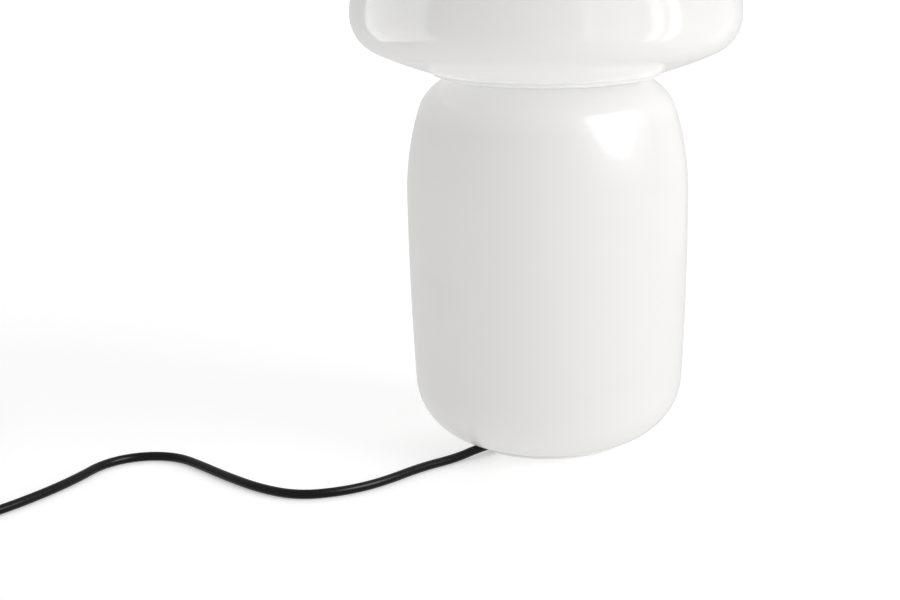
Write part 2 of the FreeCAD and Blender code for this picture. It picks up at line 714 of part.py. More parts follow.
set_screw_hole = S.set_screw_radius + S.slip
cap_screw_hole = cylinder("cap_screw_hole", set_screw_hole, S.holder_radius + 2.0,
                          ZERO, ZERO, set_screw_level, ALONG_Y)
cap_solid = fused("holder_cap_solid", [cap_bell, post_left, post_right])
keep(cut("holder_cap", cap_solid, [post_hole_left, post_hole_right, cap_screw_hole]),
     "holder_cap")

bush_ring = ring("bush_ring", S.stem_radius + S.fit, S.bush_radius, cap_low, S.collar_height)
bush_screw_hole = cylinder("bush_screw_hole", set_screw_hole, S.bush_radius + 3.0,
                           ZERO, ZERO, set_screw_level, ALONG_Y)
keep(cut("holder_bush", bush_ring, [bush_screw_hole]), "holder_bush")
keep(cylinder("bush_screw", S.set_screw_radius, S.collar_radius - S.stem_radius + 1.0,
              ZERO, S.stem_radius + S.fit, set_screw_level, ALONG_Y), "bush_screw")

clamp_bar = box("clamp_bar", S.clamp_length, S.clamp_width, S.clamp_thickness,
                -(S.clamp_length / 2), -(S.clamp_width / 2), clamp_low)
clamp_cord_hole = cylinder("clamp_cord_hole", bore_radius, S.clamp_thickness + 2.0,
                           ZERO, ZERO, clamp_low - 1.0)
clamp_left = cylinder("clamp_left", clamp_hole, S.clamp_thickness + 2.0,
                      -S.post_offset, ZERO, clamp_low - 1.0)
clamp_right = cylinder("clamp_right", clamp_hole, S.clamp_thickness + 2.0,
                       S.post_offset, ZERO, clamp_low - 1.0)
keep(cut("cord_clamp", clamp_bar, [clamp_cord_hole, clamp_left, clamp_right]), "cord_clamp")


def upright_screw(name, x, y, low, shank, shank_height, head, head_height, head_below):
    """A screw with its head above (or below) its shank."""
    if head_below:
        top = cylinder(name + "_head", head, head_height, x, y, low)
        body = cylinder(name + "_shank", shank, shank_height, x, y, low + head_height)
    else:
        body = cylinder(name + "_shank", shank, shank_height, x, y, low)
        top = cylinder(name + "_head", head, head_height, x, y, low + shank_height)
    return fused(name, [body, top])


clamp_screw_low = clamp_low - S.clamp_screw_depth
clamp_screws = [
    upright_screw("clamp_screw_%s" % side, offset, ZERO, clamp_screw_low,
                  S.clamp_screw_radius, S.clamp_screw_depth + S.clamp_thickness,
                  S.clamp_head_radius, S.clamp_head_height, False)
    for side, offset in (("left", -S.post_offset), ("right", S.post_offset))]
keep(compound("clamp_screws", clamp_screws), "clamp_screws")

insulator_form = turned("insulator_form", [
    (ZERO, cap_top),
    (S.insulator_flange, cap_top),
    (S.insulator_flange, flange_top),
    (S.insulator_radius, flange_top),
    (S.insulator_radius, insulator_top),
    (ZERO, insulator_top),
])
terminal_holes = [
    cylinder("terminal_hole_%s" % side, S.terminal_radius + S.fit,
             S.terminal_depth + S.slip + 1.0, offset, ZERO, cap_top - 1.0)
    for side, offset in (("left", -S.terminal_offset), ("right", S.terminal_offset))]
keep(cut("holder_insulator", insulator_form, terminal_holes), "holder_insulator")
terminal_screws = [
    upright_screw("terminal_screw_%s" % side, offset, ZERO, cap_top - S.terminal_head_height,
                  S.terminal_radius, S.terminal_depth, S.terminal_head,
                  S.terminal_head_height, True)
    for side, offset in (("left", -S.terminal_offset), ("right", S.terminal_offset))]
keep(compound("terminal_screws", terminal_screws), "terminal_screws")

tongue_low = insulator_top + S.contact_lift
keep(padded("centre_contact", [
    (-S.contact_tail, insulator_top),
    (-S.contact_heel, insulator_top),
    (S.contact_toe, tongue_low),
    (S.contact_tip, tongue_low),
    (S.contact_tip, tongue_low + S.contact_thickness),
    (S.contact_toe - S.contact_thickness / 3, tongue_low + S.contact_thickness),
    (-S.contact_heel - S.contact_thickness / 3, insulator_top + S.contact_thickness),
    (-S.contact_tail, insulator_top + S.contact_thickness),
], {}, S.contact_width, "XZ_Plane", None, True), "centre_contact")

shell_inner = S.shell_radius - S.shell_wall
keep(turned("screw_shell", [
    (S.shell_opening, insulator_top),
    (S.shell_radius, insulator_top),
    (S.shell_radius, insulator_top + S.shell_height),
    (shell_inner, insulator_top + S.shell_height),
    (shell_inner, insulator_top + S.shell_wall),
    (S.shell_opening, insulator_top + S.shell_wall),
]), "screw_shell")

barrel_low = cap_top - S.barrel_below
barrel_high = flange_top + S.barrel_above
barrel_wide = S.holder_radius + S.slip
barrel_narrow = S.insulator_radius + S.slip * 2
ledge = flange_top + S.fit
keep(turned("holder_barrel", [
    (barrel_wide, barrel_low),
    (S.barrel_radius, barrel_low),
    (S.barrel_radius, barrel_high - S.barrel_chamfer),
    (S.barrel_radius - S.barrel_chamfer, barrel_high),
    (barrel_narrow, barrel_high),
    (barrel_narrow, ledge),
    (barrel_wide, ledge),
]), "holder_barrel")


# The bulb.
bulb_low = tongue_low + S.contact_thickness + S.bulb_gap
bulb_contact_top = bulb_low + S.bulb_contact_height
keep(turned("bulb_contact", [
    (ZERO, bulb_low),
    (S.bulb_contact_radius * 0.6, bulb_low),
    (S.bulb_contact_radius, bulb_low + S.bulb_contact_height * 0.6),
    (S.bulb_contact_radius, bulb_contact_top),
    (ZERO, bulb_contact_top),
]), "bulb_contact")
cap_floor = bulb_contact_top + S.bulb_insulator_height * 0.8
keep(turned("bulb_insulator", [
    (ZERO, bulb_contact_top),
    (S.bulb_contact_radius + 1.0, bulb_contact_top),
    (S.bulb_insulator_radius, cap_floor),
    (S.bulb_insulator_radius, bulb_contact_top + S.bulb_insulator_height),
    (ZERO, bulb_contact_top + S.bulb_insulator_height),
]), "bulb_insulator")

thread_low = cap_floor + S.cap_bevel
cap_high = cap_floor + S.cap_length
cap_inner = S.thread_valley - S.cap_sheet
screw_cap_corners = [
    (S.bulb_insulator_radius + S.slip, cap_floor),
    (S.thread_valley - S.cap_bevel, cap_floor),
    (S.thread_valley, thread_low),
]
screw_cap_arcs = {}
for turn_number in range(4):
    screw_cap_arcs[len(screw_cap_corners) - 1] = (S.thread_arc, 1)
    screw_cap_corners.append((S.thread_valley, thread_low + S.thread_pitch * (turn_number + 1)))
screw_cap_corners += [
    (S.thread_valley, cap_high),
    (cap_inner, cap_high),
    (cap_inner, thread_low + S.cap_sheet),
    (S.thread_valley - S.cap_bevel - S.cap_sheet / 2, cap_floor + S.cap_sheet),
    (S.bulb_insulator_radius + S.slip, cap_floor + S.cap_sheet),
]
keep(turned("bulb_screw_cap", screw_cap_corners, screw_cap_arcs), "bulb_screw_cap")

housing_high = cap_high + S.housing_height
spigot = cap_inner - S.fit
spigot_inner = spigot - S.housing_wall
plate_low = housing_high - S.plate_depth
keep(turned("bulb_housing", [
    (spigot_inner, cap_high - S.housing_spigot),
    (spigot, cap_high - S.housing_spigot),
    (spigot, cap_high),
    (S.housing_base_radius, cap_high),
    (S.housing_base_radius + S.housing_flare, cap_high + S.housing_foot),
    (S.housing_radius, housing_high - S.housing_band),
    (S.housing_radius, housing_high),
    (S.plate_radius + S.slip, housing_high),
    (S.plate_radius + S.slip, plate_low),
    (S.plate_radius - S.housing_wall, plate_low),
    (S.housing_base_radius - S.housing_wall, cap_high + S.housing_foot),
    (spigot_inner, cap_high + S.housing_wall),
]), "bulb_housing")
board_low = cap_high - S.board_drop
keep(box("bulb_driver_board", S.board_width, S.board_thickness, plate_low - board_low,
         -(S.board_width / 2), -(S.board_thickness / 2), board_low),
     "bulb_driver_board")
keep(cylinder("bulb_led_plate", S.plate_radius, S.plate_thickness, ZERO, ZERO, plate_low),
     "bulb_led_plate")
chips = []
for chip_number in range(int(S.chip_count.value)):
    turned_by = as_size(360.0) / S.chip_count * chip_number
    chips.append(box("chip_%d" % chip_number, S.led_side, S.led_side, S.led_height,
                     S.led_ring * cosine(turned_by) - S.led_side / 2,
                     S.led_ring * sine(turned_by) - S.led_side / 2,
                     plate_low + S.plate_thickness))
keep(compound("bulb_leds", chips), "bulb_leds")
globe_centre = housing_high + S.globe_sink
globe_inner = S.globe_radius - S.globe_wall
keep(turned("bulb_globe", [
    (root(squared(globe_inner) - squared(S.globe_sink)), housing_high),
    (root(squared(S.globe_radius) - squared(S.globe_sink)), housing_high),
    (S.globe_radius, globe_centre),
    (ZERO, globe_centre + S.globe_radius),
    (ZERO, globe_centre + globe_inner),
    (globe_inner, globe_centre),
], {
    1: (S.globe_radius, 1),
    2: (S.globe_radius, 1),
    4: (globe_inner, -1),
    5: (globe_inner, -1),
}), "bulb_globe")


# The shade. Its height follows from where its silicone ring meets the shoulder.
tilt_sine = sine(S.skirt_angle)
tilt_cosine = cosine(S.skirt_angle)
skirt_x = S.shade_radius - S.corner_arc + (S.corner_arc - S.skirt_arc) * tilt_sine
ring_inner = S.lip_radius - S.lip_ring_thickness
shoulder_level = neck_z + root(squared(S.neck_arc) - squared(ring_inner - neck_x))
skirt_z = (shoulder_level + S.seat_gap
           + root(squared(S.skirt_arc + S.lip_ring_thickness) - squared(ring_inner - skirt_x)))
equator = skirt_z - (S.skirt_arc - S.corner_arc) * tilt_cosine
crown = equator + S.shade_height
dome_x = S.shade_radius - S.dome_arc
crown_arc = ((squared(dome_x) + squared(S.shade_height) - squared(S.dome_arc))
             / ((S.shade_height - S.dome_arc) * 2))
crown_z = crown - crown_arc
corner_x = S.shade_radius - S.corner_arc


def under_shade(arc, radius):
    """Height at a radius on an arc around the centre of the underside."""
    return skirt_z - root(squared(arc) - squared(radius - skirt_x))


def crown_meeting(inward):
    share = (crown_arc - inward) / (crown_arc - S.dome_arc)
    return (dome_x * share, crown_z + (equator - crown_z) * share)


def corner_meeting(inward):
    return (corner_x + (S.corner_arc - inward) * tilt_sine,
            equator - (S.corner_arc - inward) * tilt_cosine)


keep(turned("glass_shade", [
    (S.lip_radius, under_shade(S.skirt_arc, S.lip_radius)),
    corner_meeting(ZERO),
    (S.shade_radius, equator),
    crown_meeting(ZERO),
    (ZERO, crown),
    (ZERO, crown - S.shade_wall),
    crown_meeting(S.shade_wall),
    (S.shade_radius - S.shade_wall, equator),
    corner_meeting(S.shade_wall),
    (S.lip_radius, under_shade(S.skirt_arc - S.shade_wall, S.lip_radius)),
], {
    0: (S.skirt_arc, 1),
    1: (S.corner_arc, 1),
    2: (S.dome_arc, 1),
    3: (crown_arc, 1),
    5: (crown_arc - S.shade_wall, -1),
    6: (S.dome_arc - S.shade_wall, -1),
    7: (S.corner_arc - S.shade_wall, -1),
    8: (S.skirt_arc - S.shade_wall, -1),
}), "glass_shade")

ring_arcs = [
    S.skirt_arc + S.lip_ring_thickness,
    S.skirt_arc + S.fit,
    S.skirt_arc - S.shade_wall - S.fit,
    S.skirt_arc - S.shade_wall - S.lip_ring_top,
]
channel = S.lip_radius - S.fit
keep(turned("shade_lip_ring", [
    (ring_inner, under_shade(ring_arcs[0], ring_inner)),
    (S.lip_ring_outer, under_shade(ring_arcs[0], S.lip_ring_outer)),
    (S.lip_ring_outer, under_shade(ring_arcs[1], S.lip_ring_outer)),
    (channel, under_shade(ring_arcs[1], channel)),
    (channel, under_shade(ring_arcs[2], channel)),
    (S.lip_ring_outer, under_shade(ring_arcs[2], S.lip_ring_outer)),
    (S.lip_ring_outer, under_shade(ring_arcs[3], S.lip_ring_outer)),
    (ring_inner, under_shade(ring_arcs[3], ring_inner)),
], {
    0: (ring_arcs[0], 1),
    2: (ring_arcs[1], -1),
    4: (ring_arcs[2], 1),
    6: (ring_arcs[3], -1),
}), "shade_lip_ring")


# Tubes: the lead, its inner ends and the coil follow a line of runs and arcs.
def tube(name, edges, radius, start, direction):
    """Sweep a circle along joined edges; prints the volume against section times length."""
    path = Part.Wire(edges)
    circle = Part.Wire([Part.Circle(start, direction, radius).toShape()])
    sweep = Part.BRepOffsetAPI.MakePipeShell(path)
    sweep.add(circle)
    sweep.build()
    sweep.makeSolid()
    thing = document.addObject("Part::Feature", name)
    thing.Shape = sweep.shape()
    expected = math.pi * radius ** 2 * path.Length
    print("%s: length %.1f mm, volume %.0f mm3, section times length %.0f mm3" % (
        name, path.Length, thing.Shape.Volume, expected))
    assert abs(thing.Shape.Volume - expected) < 0.01 * expected
    return thing


def rounded_route(points):
    """Straight runs joined by tangent arcs, and the smallest arc radius."""
    edges = []
    here = points[0]
    smallest = 1e9
    for i in range(1, len(points) - 1):
        before = points[i] - points[i - 1]
        after = points[i + 1] - points[i]
        turn_angle = before.getAngle(after)
        reach = 0.45 * min(before.Length, after.Length)
        smallest = min(smallest, reach / math.tan(turn_angle / 2))
        way_in = vector(*before)
        way_in.normalize()
        way_out = vector(*after)
        way_out.normalize()
        first = points[i] - way_in * reach
        last = points[i] + way_out * reach
        bisector = way_out - way_in
        bisector.normalize()
        sagitta = reach * math.cos(turn_angle / 2) * math.tan(turn_angle / 4)
        middle = (first + last) * 0.5
        chord_to_corner = points[i] - middle
        chord_to_corner.normalize()
        edges.append(Part.LineSegment(here, first).toShape())
        edges.append(Part.Arc(first, middle + chord_to_corner * sagitta, last).toShape())
        here = last
    edges.append(Part.LineSegment(here, points[-1]).toShape())
    return edges, smallest


def lead(name, route, radius):
    points = [vector(*point) for point in route]
    if len(points) == 2:
        edges = [Part.LineSegment(points[0], points[1]).toShape()]
    else:
        edges, smallest = rounded_route(points)
        print("%s: smallest bend radius %.1f mm" % (name, smallest))
    return tube(name, edges, radius, points[0], points[1] - points[0])


rest = cord_radius.value
exit_way = vector(math.cos(math.radians(EXIT_ANGLE)), math.sin(math.radians(EXIT_ANGLE)), 0)

# Inside the lamp: down the stem, one wide bend, and out through the notch.
lead_top = (clamp_low + S.clamp_thickness).value + 1.0
bend = 4.0 * S.cord_diameter.value
top_point = vector(0, 0, lead_top)
exit_level = S.exit_height.value
bend_start = vector(0, 0, exit_level + bend)
bend_end = exit_way * bend + vector(0, 0, exit_level)
bend_middle = (exit_way * (bend - bend * math.cos(math.radians(45)))
               + vector(0, 0, exit_level + bend - bend * math.sin(math.radians(45))))
inner_end = exit_way * S.inner_run.value + vector(0, 0, exit_level)
inner_edges = [
    Part.LineSegment(top_point, bend_start).toShape(),
    Part.Arc(bend_start, bend_middle, bend_end).toShape(),
    Part.LineSegment(bend_end, inner_end).toShape(),
]
keep(tube("inner_lead", inner_edges, rest, top_point, vector(0, 0, -1)), "inner_lead")

wire_radius = S.core_radius.value
wire_side = S.core_offset.value
wire_end = (S.terminal_offset - S.terminal_head).value - 0.05
wire_top = cap_top.value - S.terminal_head_height.value / 2
wires = []
for side in (-1, 1):
    wires.append(lead("core_wire_%s" % ("left" if side < 0 else "right"), [
        (side * wire_side, 0, lead_top),
        (side * wire_side, 0, lead_top + 1.7),
        (side * (wire_side + 2.8), 0, wire_top),
        (side * wire_end, 0, wire_top),
    ], wire_radius))
keep(compound("core_wires", wires), "core_wires")

# The free lead as it lies in the photograph, from the notch to the in-line switch.
route = [
    (inner_end.x, inner_end.y, exit_level),
    (-43.5, -43.5, exit_level),
    (-56.0, -55.5, rest),
    (-76.5, -73.0, rest),
    (-97.5, -100.5, rest),
    (-118.0, -116.0, rest),
    (-142.5, -123.0, rest),
    (-166.0, -112.0, rest),
    (-190.5, -90.5, rest),
    (-212.0, -68.5, rest),
    (-227.0, -55.0, rest),
    (-244.0, -51.0, rest),
    (-260.5, -56.5, rest),
    (-272.5, -70.0, rest),
    (-278.5, -89.0, rest),
    (-288.0, -111.5, rest),
    (-303.0, -138.5, rest),
    (-317.5, -158.5, rest),
    (-333.5, -168.0, rest),
    (-352.5, -167.9, rest),
    (-368.3, -157.6, 5.1),
    (-376.8, -141.335, 8.85),
    (-386.0, -125.4, 8.85),
]
keep(lead("cord", route, rest), "cord")

# The in-line switch, made around its own middle and then laid in line with the lead.
way = vector(-0.5, math.sqrt(0.75), 0)
cord_end = vector(*route[-1])
bury = S.cord_diameter.value
half_switch = S.switch_length.value / 2 + S.relief_length.value
switch_middle = cord_end + way * (half_switch - bury)
switch_place = FreeCAD.Placement(
    vector(switch_middle.x, switch_middle.y, 0), FreeCAD.Rotation(vector(0, 0, 1), 120))
switch_axis = S.switch_height / 2
half_length = S.switch_length / 2


def plan(length, width, corner):
    """Corners and arcs of a rounded rectangle around the origin."""
    x = length / 2
    y = width / 2
    corners = [
        (corner - x, -y), (x - corner, -y), (x, corner - y), (x, y - corner),
        (x - corner, y), (corner - x, y), (-x, y - corner), (-x, corner - y),
    ]
    return corners, {1: (corner, 1), 3: (corner, 1), 5: (corner, 1), 7: (corner, 1)}


def shell(name, low, height, rounded_level, floor_at_top):
    """Half of the switch's housing: a rounded block, hollowed from the joint."""
    corners, arcs = plan(S.switch_length, S.switch_width, S.switch_corner)
    body = padded(name, corners, arcs, height, "XY_Plane", low)
    document.recompute()
    names = []
    for number, edge in enumerate(body.Shape.Edges, start=1):
        bounds = edge.BoundBox
        if abs(bounds.ZMin - rounded_level) < 1e-6 and abs(bounds.ZMax - rounded_level) < 1e-6:
            names.append("Edge%d" % number)
    block = body.Tip
    fillet = body.newObject("PartDesign::Fillet", name + "_round")
    fillet.Base = (block, names)
    bind(fillet, "Radius", S.switch_round)
    body.Tip = fillet
    document.recompute()
    inside = new_sketch(body, name + "_inside", "XY_Plane")
    bind(inside, "AttachmentOffset.Base.z", switch_axis)
    wall = S.switch_wall
    corners, arcs = plan(S.switch_length - wall * 2, S.switch_width - wall * 2,
                         S.switch_corner - wall)
    outline(inside, corners, arcs)
    document.recompute()
    before = body.Shape.Volume
    hollow = body.newObject("PartDesign::Pocket", name + "_hollow")
    hollow.Profile = inside
    hollow.Reversed = floor_at_top
    bind(hollow, "Length", switch_axis - wall)
    body.Tip = hollow
    document.recompute()
    print("%s: %.0f mm3 before and %.0f mm3 after hollowing" % (name, before, body.Shape.Volume))
    assert body.Shape.Volume < 0.7 * before
    return body


screw_spots = [("a", S.shell_screw_x, S.shell_screw_y), ("b", -S.shell_screw_x, -S.shell_screw_y)]
shank_hole = S.shell_screw_radius + S.slip
screw_low = S.switch_wall / 2
boss_low = S.switch_wall / 2
lower = shell("switch_lower_shell", ZERO, switch_axis, 0.0, False)
lower_bosses = [
    cylinder("lower_boss_" + spot, S.shell_boss, switch_axis - boss_low, x, y, boss_low)
    for spot, x, y in screw_spots]
lower_holes = [
    cylinder("lower_hole_" + spot, shank_hole, S.switch_height, x, y, -1.0)
    for spot, x, y in screw_spots]
lower_heads = [
    cylinder("lower_recess_" + spot, S.shell_screw_head + S.slip,
             S.shell_head_height + screw_low + 1.0, x, y, -1.0)
    for spot, x, y in screw_spots]
port_radius = cord_radius + S.fit
lower_port = cylinder("lower_port", port_radius, S.switch_length + 10.0,
                      -half_length - 5.0, ZERO, switch_axis, ALONG_X)
lower_whole = cut("switch_lower", fused("switch_lower_solid", [lower] + lower_bosses),
                  lower_holes + lower_heads + [lower_port])
lower_whole.Placement = switch_place
keep(lower_whole, "switch_lower")

upper = shell("switch_upper_shell", switch_axis, switch_axis, S.switch_height.value, True)
inner_roof = S.switch_height - S.switch_wall
lug_y = S.rocker_width / 2 + S.rocker_side_gap
lug_low = S.hinge_height - S.lug_drop
lugs = [
    box("lug_" + side, S.lug_length, S.lug_thickness, inner_roof + S.switch_wall / 2 - lug_low,
        -(S.lug_length / 2), y, lug_low)
    for side, y in (("near", lug_y), ("far", -lug_y - S.lug_thickness))]
boss_high = inner_roof + S.switch_wall / 2
upper_bosses = [
    cylinder("upper_boss_" + spot, S.shell_boss, boss_high - switch_axis, x, y, switch_axis)
    for spot, x, y in screw_spots]
screw_top = screw_low + S.shell_head_height + S.shell_screw_length
upper_holes = [
    cylinder("upper_hole_" + spot, shank_hole, screw_top + S.slip, x, y, ZERO)
    for spot, x, y in screw_spots]
window_length = S.rocker_length + S.rocker_end_gap * 2
window_across = S.rocker_width + S.rocker_side_gap * 2
rocker_window = box("rocker_window", window_length, window_across, S.switch_wall + 2.0,
                    -(window_length / 2), -(window_across / 2), inner_roof - 1.0)
hinge_hole = cylinder("hinge_hole", S.pin_radius + S.pin_slip, S.switch_width - S.switch_wall * 2,
                      ZERO, -(S.switch_width / 2 - S.switch_wall), S.hinge_height, ALONG_Y)
upper_port = cylinder("upper_port", port_radius, S.switch_length + 10.0,
                      -half_length - 5.0, ZERO, switch_axis, ALONG_X)
upper_whole = cut("switch_upper", fused("switch_upper_solid", [upper] + lugs + upper_bosses),
                  upper_holes + [rocker_window, hinge_hole, upper_port])
upper_whole.Placement = switch_place
keep(upper_whole, "switch_upper")

# The rocker is drawn around its hinge, level, and set with one end pressed down.
rocker_half = S.rocker_length / 2
rocker_form = padded("rocker_form", [
    (S.rocker_taper - rocker_half, ZERO - S.pin_radius * 1.2),
    (rocker_half - S.rocker_taper, ZERO - S.pin_radius * 1.2),
    (rocker_half, S.rocker_end - S.rocker_skirt),
    (rocker_half, S.rocker_end),
    (ZERO, S.rocker_middle),
    (-rocker_half, S.rocker_end),
    (-rocker_half, S.rocker_end - S.rocker_skirt),
], {}, S.rocker_width, "XZ_Plane", None, True)
pin_length = S.rocker_width + S.pin_reach * 2
rocker_pin = cylinder("rocker_pin", S.pin_radius, pin_length,
                      ZERO, -(pin_length / 2), ZERO, ALONG_Y)
rocker = fused("switch_rocker", [rocker_form, rocker_pin])
rocker.Placement = switch_place.multiply(FreeCAD.Placement(
    vector(0, 0, S.hinge_height.value), FreeCAD.Rotation(vector(0, 1, 0), -7)))
keep(rocker, "switch_rocker")

housing_screws = compound("switch_screws", [
    upright_screw("housing_screw_" + spot, x, y, screw_low, S.shell_screw_radius,
                  S.shell_screw_length, S.shell_screw_head, S.shell_head_height, True)
    for spot, x, y in screw_spots])
housing_screws.Placement = switch_place
keep(housing_screws, "switch_screws")

terminals = []
for side, start, upright in (
        ("left", -S.terminal_x, -S.terminal_x),
        ("right", S.terminal_x - S.terminal_length, S.terminal_x - S.terminal_sheet)):
    foot = box("terminal_foot_" + side, S.terminal_length, S.terminal_width, S.terminal_sheet,
               start, -(S.terminal_width / 2), S.switch_wall)
    stand = box("terminal_stand_" + side, S.terminal_sheet, S.terminal_width, S.terminal_height,
                upright, -(S.terminal_width / 2), S.switch_wall)
    terminals.append(fused("terminal_" + side, [foot, stand]))
switch_contacts = compound("switch_contacts", terminals)
switch_contacts.Placement = switch_place
keep(switch_contacts, "switch_contacts")

end_length = S.relief_length + S.lead_inside - S.cord_diameter
lead_ends = compound("switch_cord_ends", [
    cylinder("cord_end_left", cord_radius, end_length,
             -half_length - S.relief_length + S.cord_diameter, ZERO, switch_axis, ALONG_X),
    cylinder("cord_end_right", cord_radius, end_length,
             half_length - S.lead_inside, ZERO, switch_axis, ALONG_X),
])
lead_ends.Placement = switch_place
keep(lead_ends, "switch_cord_ends")

core_start = half_length - S.lead_inside
core_length = core_start - S.terminal_x
cores = []
for side, x in (("left", -core_start), ("right", S.terminal_x)):
    for half, y in (("near", -S.core_offset), ("far", S.core_offset)):
        cores.append(cylinder("core_%s_%s" % (side, half), S.core_radius, core_length,
                              x, y, switch_axis, ALONG_X))
switch_cores = compound("switch_cores", cores)
switch_cores.Placement = switch_place
keep(switch_cores, "switch_cores")


def relief(name, tip, base, length, x, height, bore_from, bore_length, toward_tip):
    """A tapered sleeve along X; toward_tip is -1 when its tip is at the lower x."""
    cone = document.addObject("Part::Cone", name + "_cone")
    bind(cone, "Radius1", tip if toward_tip < 0 else base)
    bind(cone, "Radius2", base if toward_tip < 0 else tip)
    bind(cone, "Height", length)
    cone.Placement = FreeCAD.Placement(vector(0, 0, 0), ALONG_X)
    move(cone, x, ZERO, height)
    bore = cylinder(name + "_bore", cord_radius + S.fit, bore_length, bore_from, ZERO, height,
                    ALONG_X)
    return cut(name, cone, [bore])


reliefs = compound("switch_reliefs", [
    relief("relief_left", S.relief_tip, S.relief_root, S.relief_length,
           -half_length - S.relief_length, switch_axis,
           -half_length - S.relief_length - 1.0, S.relief_length + 2.0, -1),
    relief("relief_right", S.relief_tip, S.relief_root, S.relief_length,
           half_length, switch_axis, half_length - 1.0, S.relief_length + 2.0, 1),
])
reliefs.Placement = switch_place
keep(reliefs, "switch_reliefs")

# The rest of the lead: a short run from the switch, and two flat layers of turns.
switch_out = switch_middle + way * (half_switch - bury)
lead_height = switch_axis.value
switch_out.z = lead_height
coil_entry = switch_out + way * S.switch_run.value
keep(lead("switch_lead", [tuple(switch_out), tuple(coil_entry)], rest), "switch_lead")

coil_radius = S.coil_radius.value
pitch = S.coil_pitch.value
centre = coil_entry + vector(way.y, -way.x, 0) * coil_radius
top_level = lead_height
low_level = rest
inward_turns = S.coil_turns.value
half_turn = 0.5
total_turns = 2 * inward_turns + half_turn - 1.0 / 60.0


def coil_state(turns):
    """Radius and height after this many turns from the coil's entry."""
    if turns < inward_turns:
        return coil_radius - pitch * turns, top_level
    inner = coil_radius - pitch * inward_turns
    if turns < inward_turns + half_turn:
        share = (turns - inward_turns) / half_turn
        dip = pitch / 8 * math.sin(math.pi * share)
        fall = share * share * (3 - 2 * share)
        return inner - dip, top_level + (low_level - top_level) * fall
    outward = turns - inward_turns - half_turn
    return inner + pitch * outward, low_level


def coil_point(turns):
    radius, height = coil_state(turns)
    angle = math.radians(210.0) - 2 * math.pi * turns
    return vector(centre.x + radius * math.cos(angle), centre.y + radius * math.sin(angle), height)


def coil_way(turns):
    if turns <= 0:
        return vector(way.x, way.y, 0)
    if turns >= total_turns:
        return vector(0, 1, 0)
    step = 1e-5
    direction = coil_point(turns + step) - coil_point(turns - step)
    direction.normalize()
    return direction


def two_arcs(start, start_way, end, end_way):
    """Two arcs that meet smoothly, from one point and direction to the next."""
    gap = end - start
    ways = start_way + end_way
    a = 2 * (1 - start_way.dot(end_way))
    b = 2 * gap.dot(ways)
    c = -gap.dot(gap)
    if abs(a) < 1e-9:
        reach = -c / b
    else:
        reach = (-b + math.sqrt(b * b - 4 * a * c)) / (2 * a)
    join = (start + start_way * reach + end - end_way * reach) * 0.5

    def arc(first, first_way, last):
        chord = last - first
        across = chord - first_way * chord.dot(first_way)
        if across.Length < 1e-7:
            return Part.LineSegment(first, last).toShape()
        half = chord.getAngle(first_way)
        outward = first_way * chord.Length - chord * math.cos(half)
        outward.normalize()
        side = outward - chord * (outward.dot(chord) / chord.dot(chord))
        side.normalize()
        middle = (first + last) * 0.5 + side * (chord.Length / 2 * math.tan(half / 2))
        return Part.Arc(first, middle, last).toShape()

    first_arc = arc(start, start_way, join)
    joint_chord = end - join
    back = arc(end, end_way * -1, join)
    back_curve = back.Curve
    middle_point = back.valueAt((back.FirstParameter + back.LastParameter) / 2)
    if joint_chord.Length < 1e-7:
        return [first_arc]
    if isinstance(back_curve, Part.Line):
        return [first_arc, Part.LineSegment(join, end).toShape()]
    return [first_arc, Part.Arc(join, middle_point, end).toShape()]


stations = [0.25 * number for number in range(12)] + [inward_turns]
stations += [inward_turns + half_turn * share for share in (0.25, 0.5, 0.75, 1.0)]
station = inward_turns + half_turn + 0.2
while station < total_turns - 0.1:
    stations.append(station)
    station += 0.25
stations.append(total_turns)
stations = sorted(set(round(station, 6) for station in stations))
coil_edges = []
for before, after in zip(stations[:-1], stations[1:]):
    coil_edges += two_arcs(coil_point(before), coil_way(before), coil_point(after), coil_way(after))
keep(tube("cord_coil", coil_edges, rest, coil_point(0), coil_way(0)), "cord_coil")

# The least distance between parts of the coil that are more than a third of a turn apart.
samples = [coil_point(total_turns * number / 1200.0) for number in range(1201)]
apart = int(1200 / total_turns / 3)
least = min((samples[i] - samples[j]).Length
            for i in range(0, 1201, 2) for j in range(i + apart, 1201, 2))
print("cord_coil: least gap of the turns to each other %.2f mm" % (least - 2 * rest))
assert least - 2 * rest > 0.4

# From the coil up into the plug.
plug_axis = S.plug_height / 2
plug_run = S.plug_run.value
coil_exit = coil_point(total_turns)
plug_route = [
    (coil_exit.x, coil_exit.y, rest),
    (coil_exit.x, coil_exit.y + plug_run, rest),
    (coil_exit.x, coil_exit.y + plug_run * 2, plug_axis.value),
    (coil_exit.x, coil_exit.y + plug_run * 3, plug_axis.value),
]
keep(lead("plug_lead", plug_route, rest), "plug_lead")

relief_tip_y = coil_exit.y + plug_run * 3 - bury
plug_place = FreeCAD.Placement(
    vector(coil_exit.x, relief_tip_y + S.plug_relief_length.value, 0),
    FreeCAD.Rotation(vector(0, 0, 1), 90))
plug_relief = relief("plug_relief", S.plug_relief_tip, S.plug_relief_root, S.plug_relief_length,
                     -S.plug_relief_length, plug_axis,
                     -S.plug_relief_length - 1.0, S.cord_diameter + 1.0, -1)
plug_relief.Placement = plug_place
keep(plug_relief, "plug_relief")

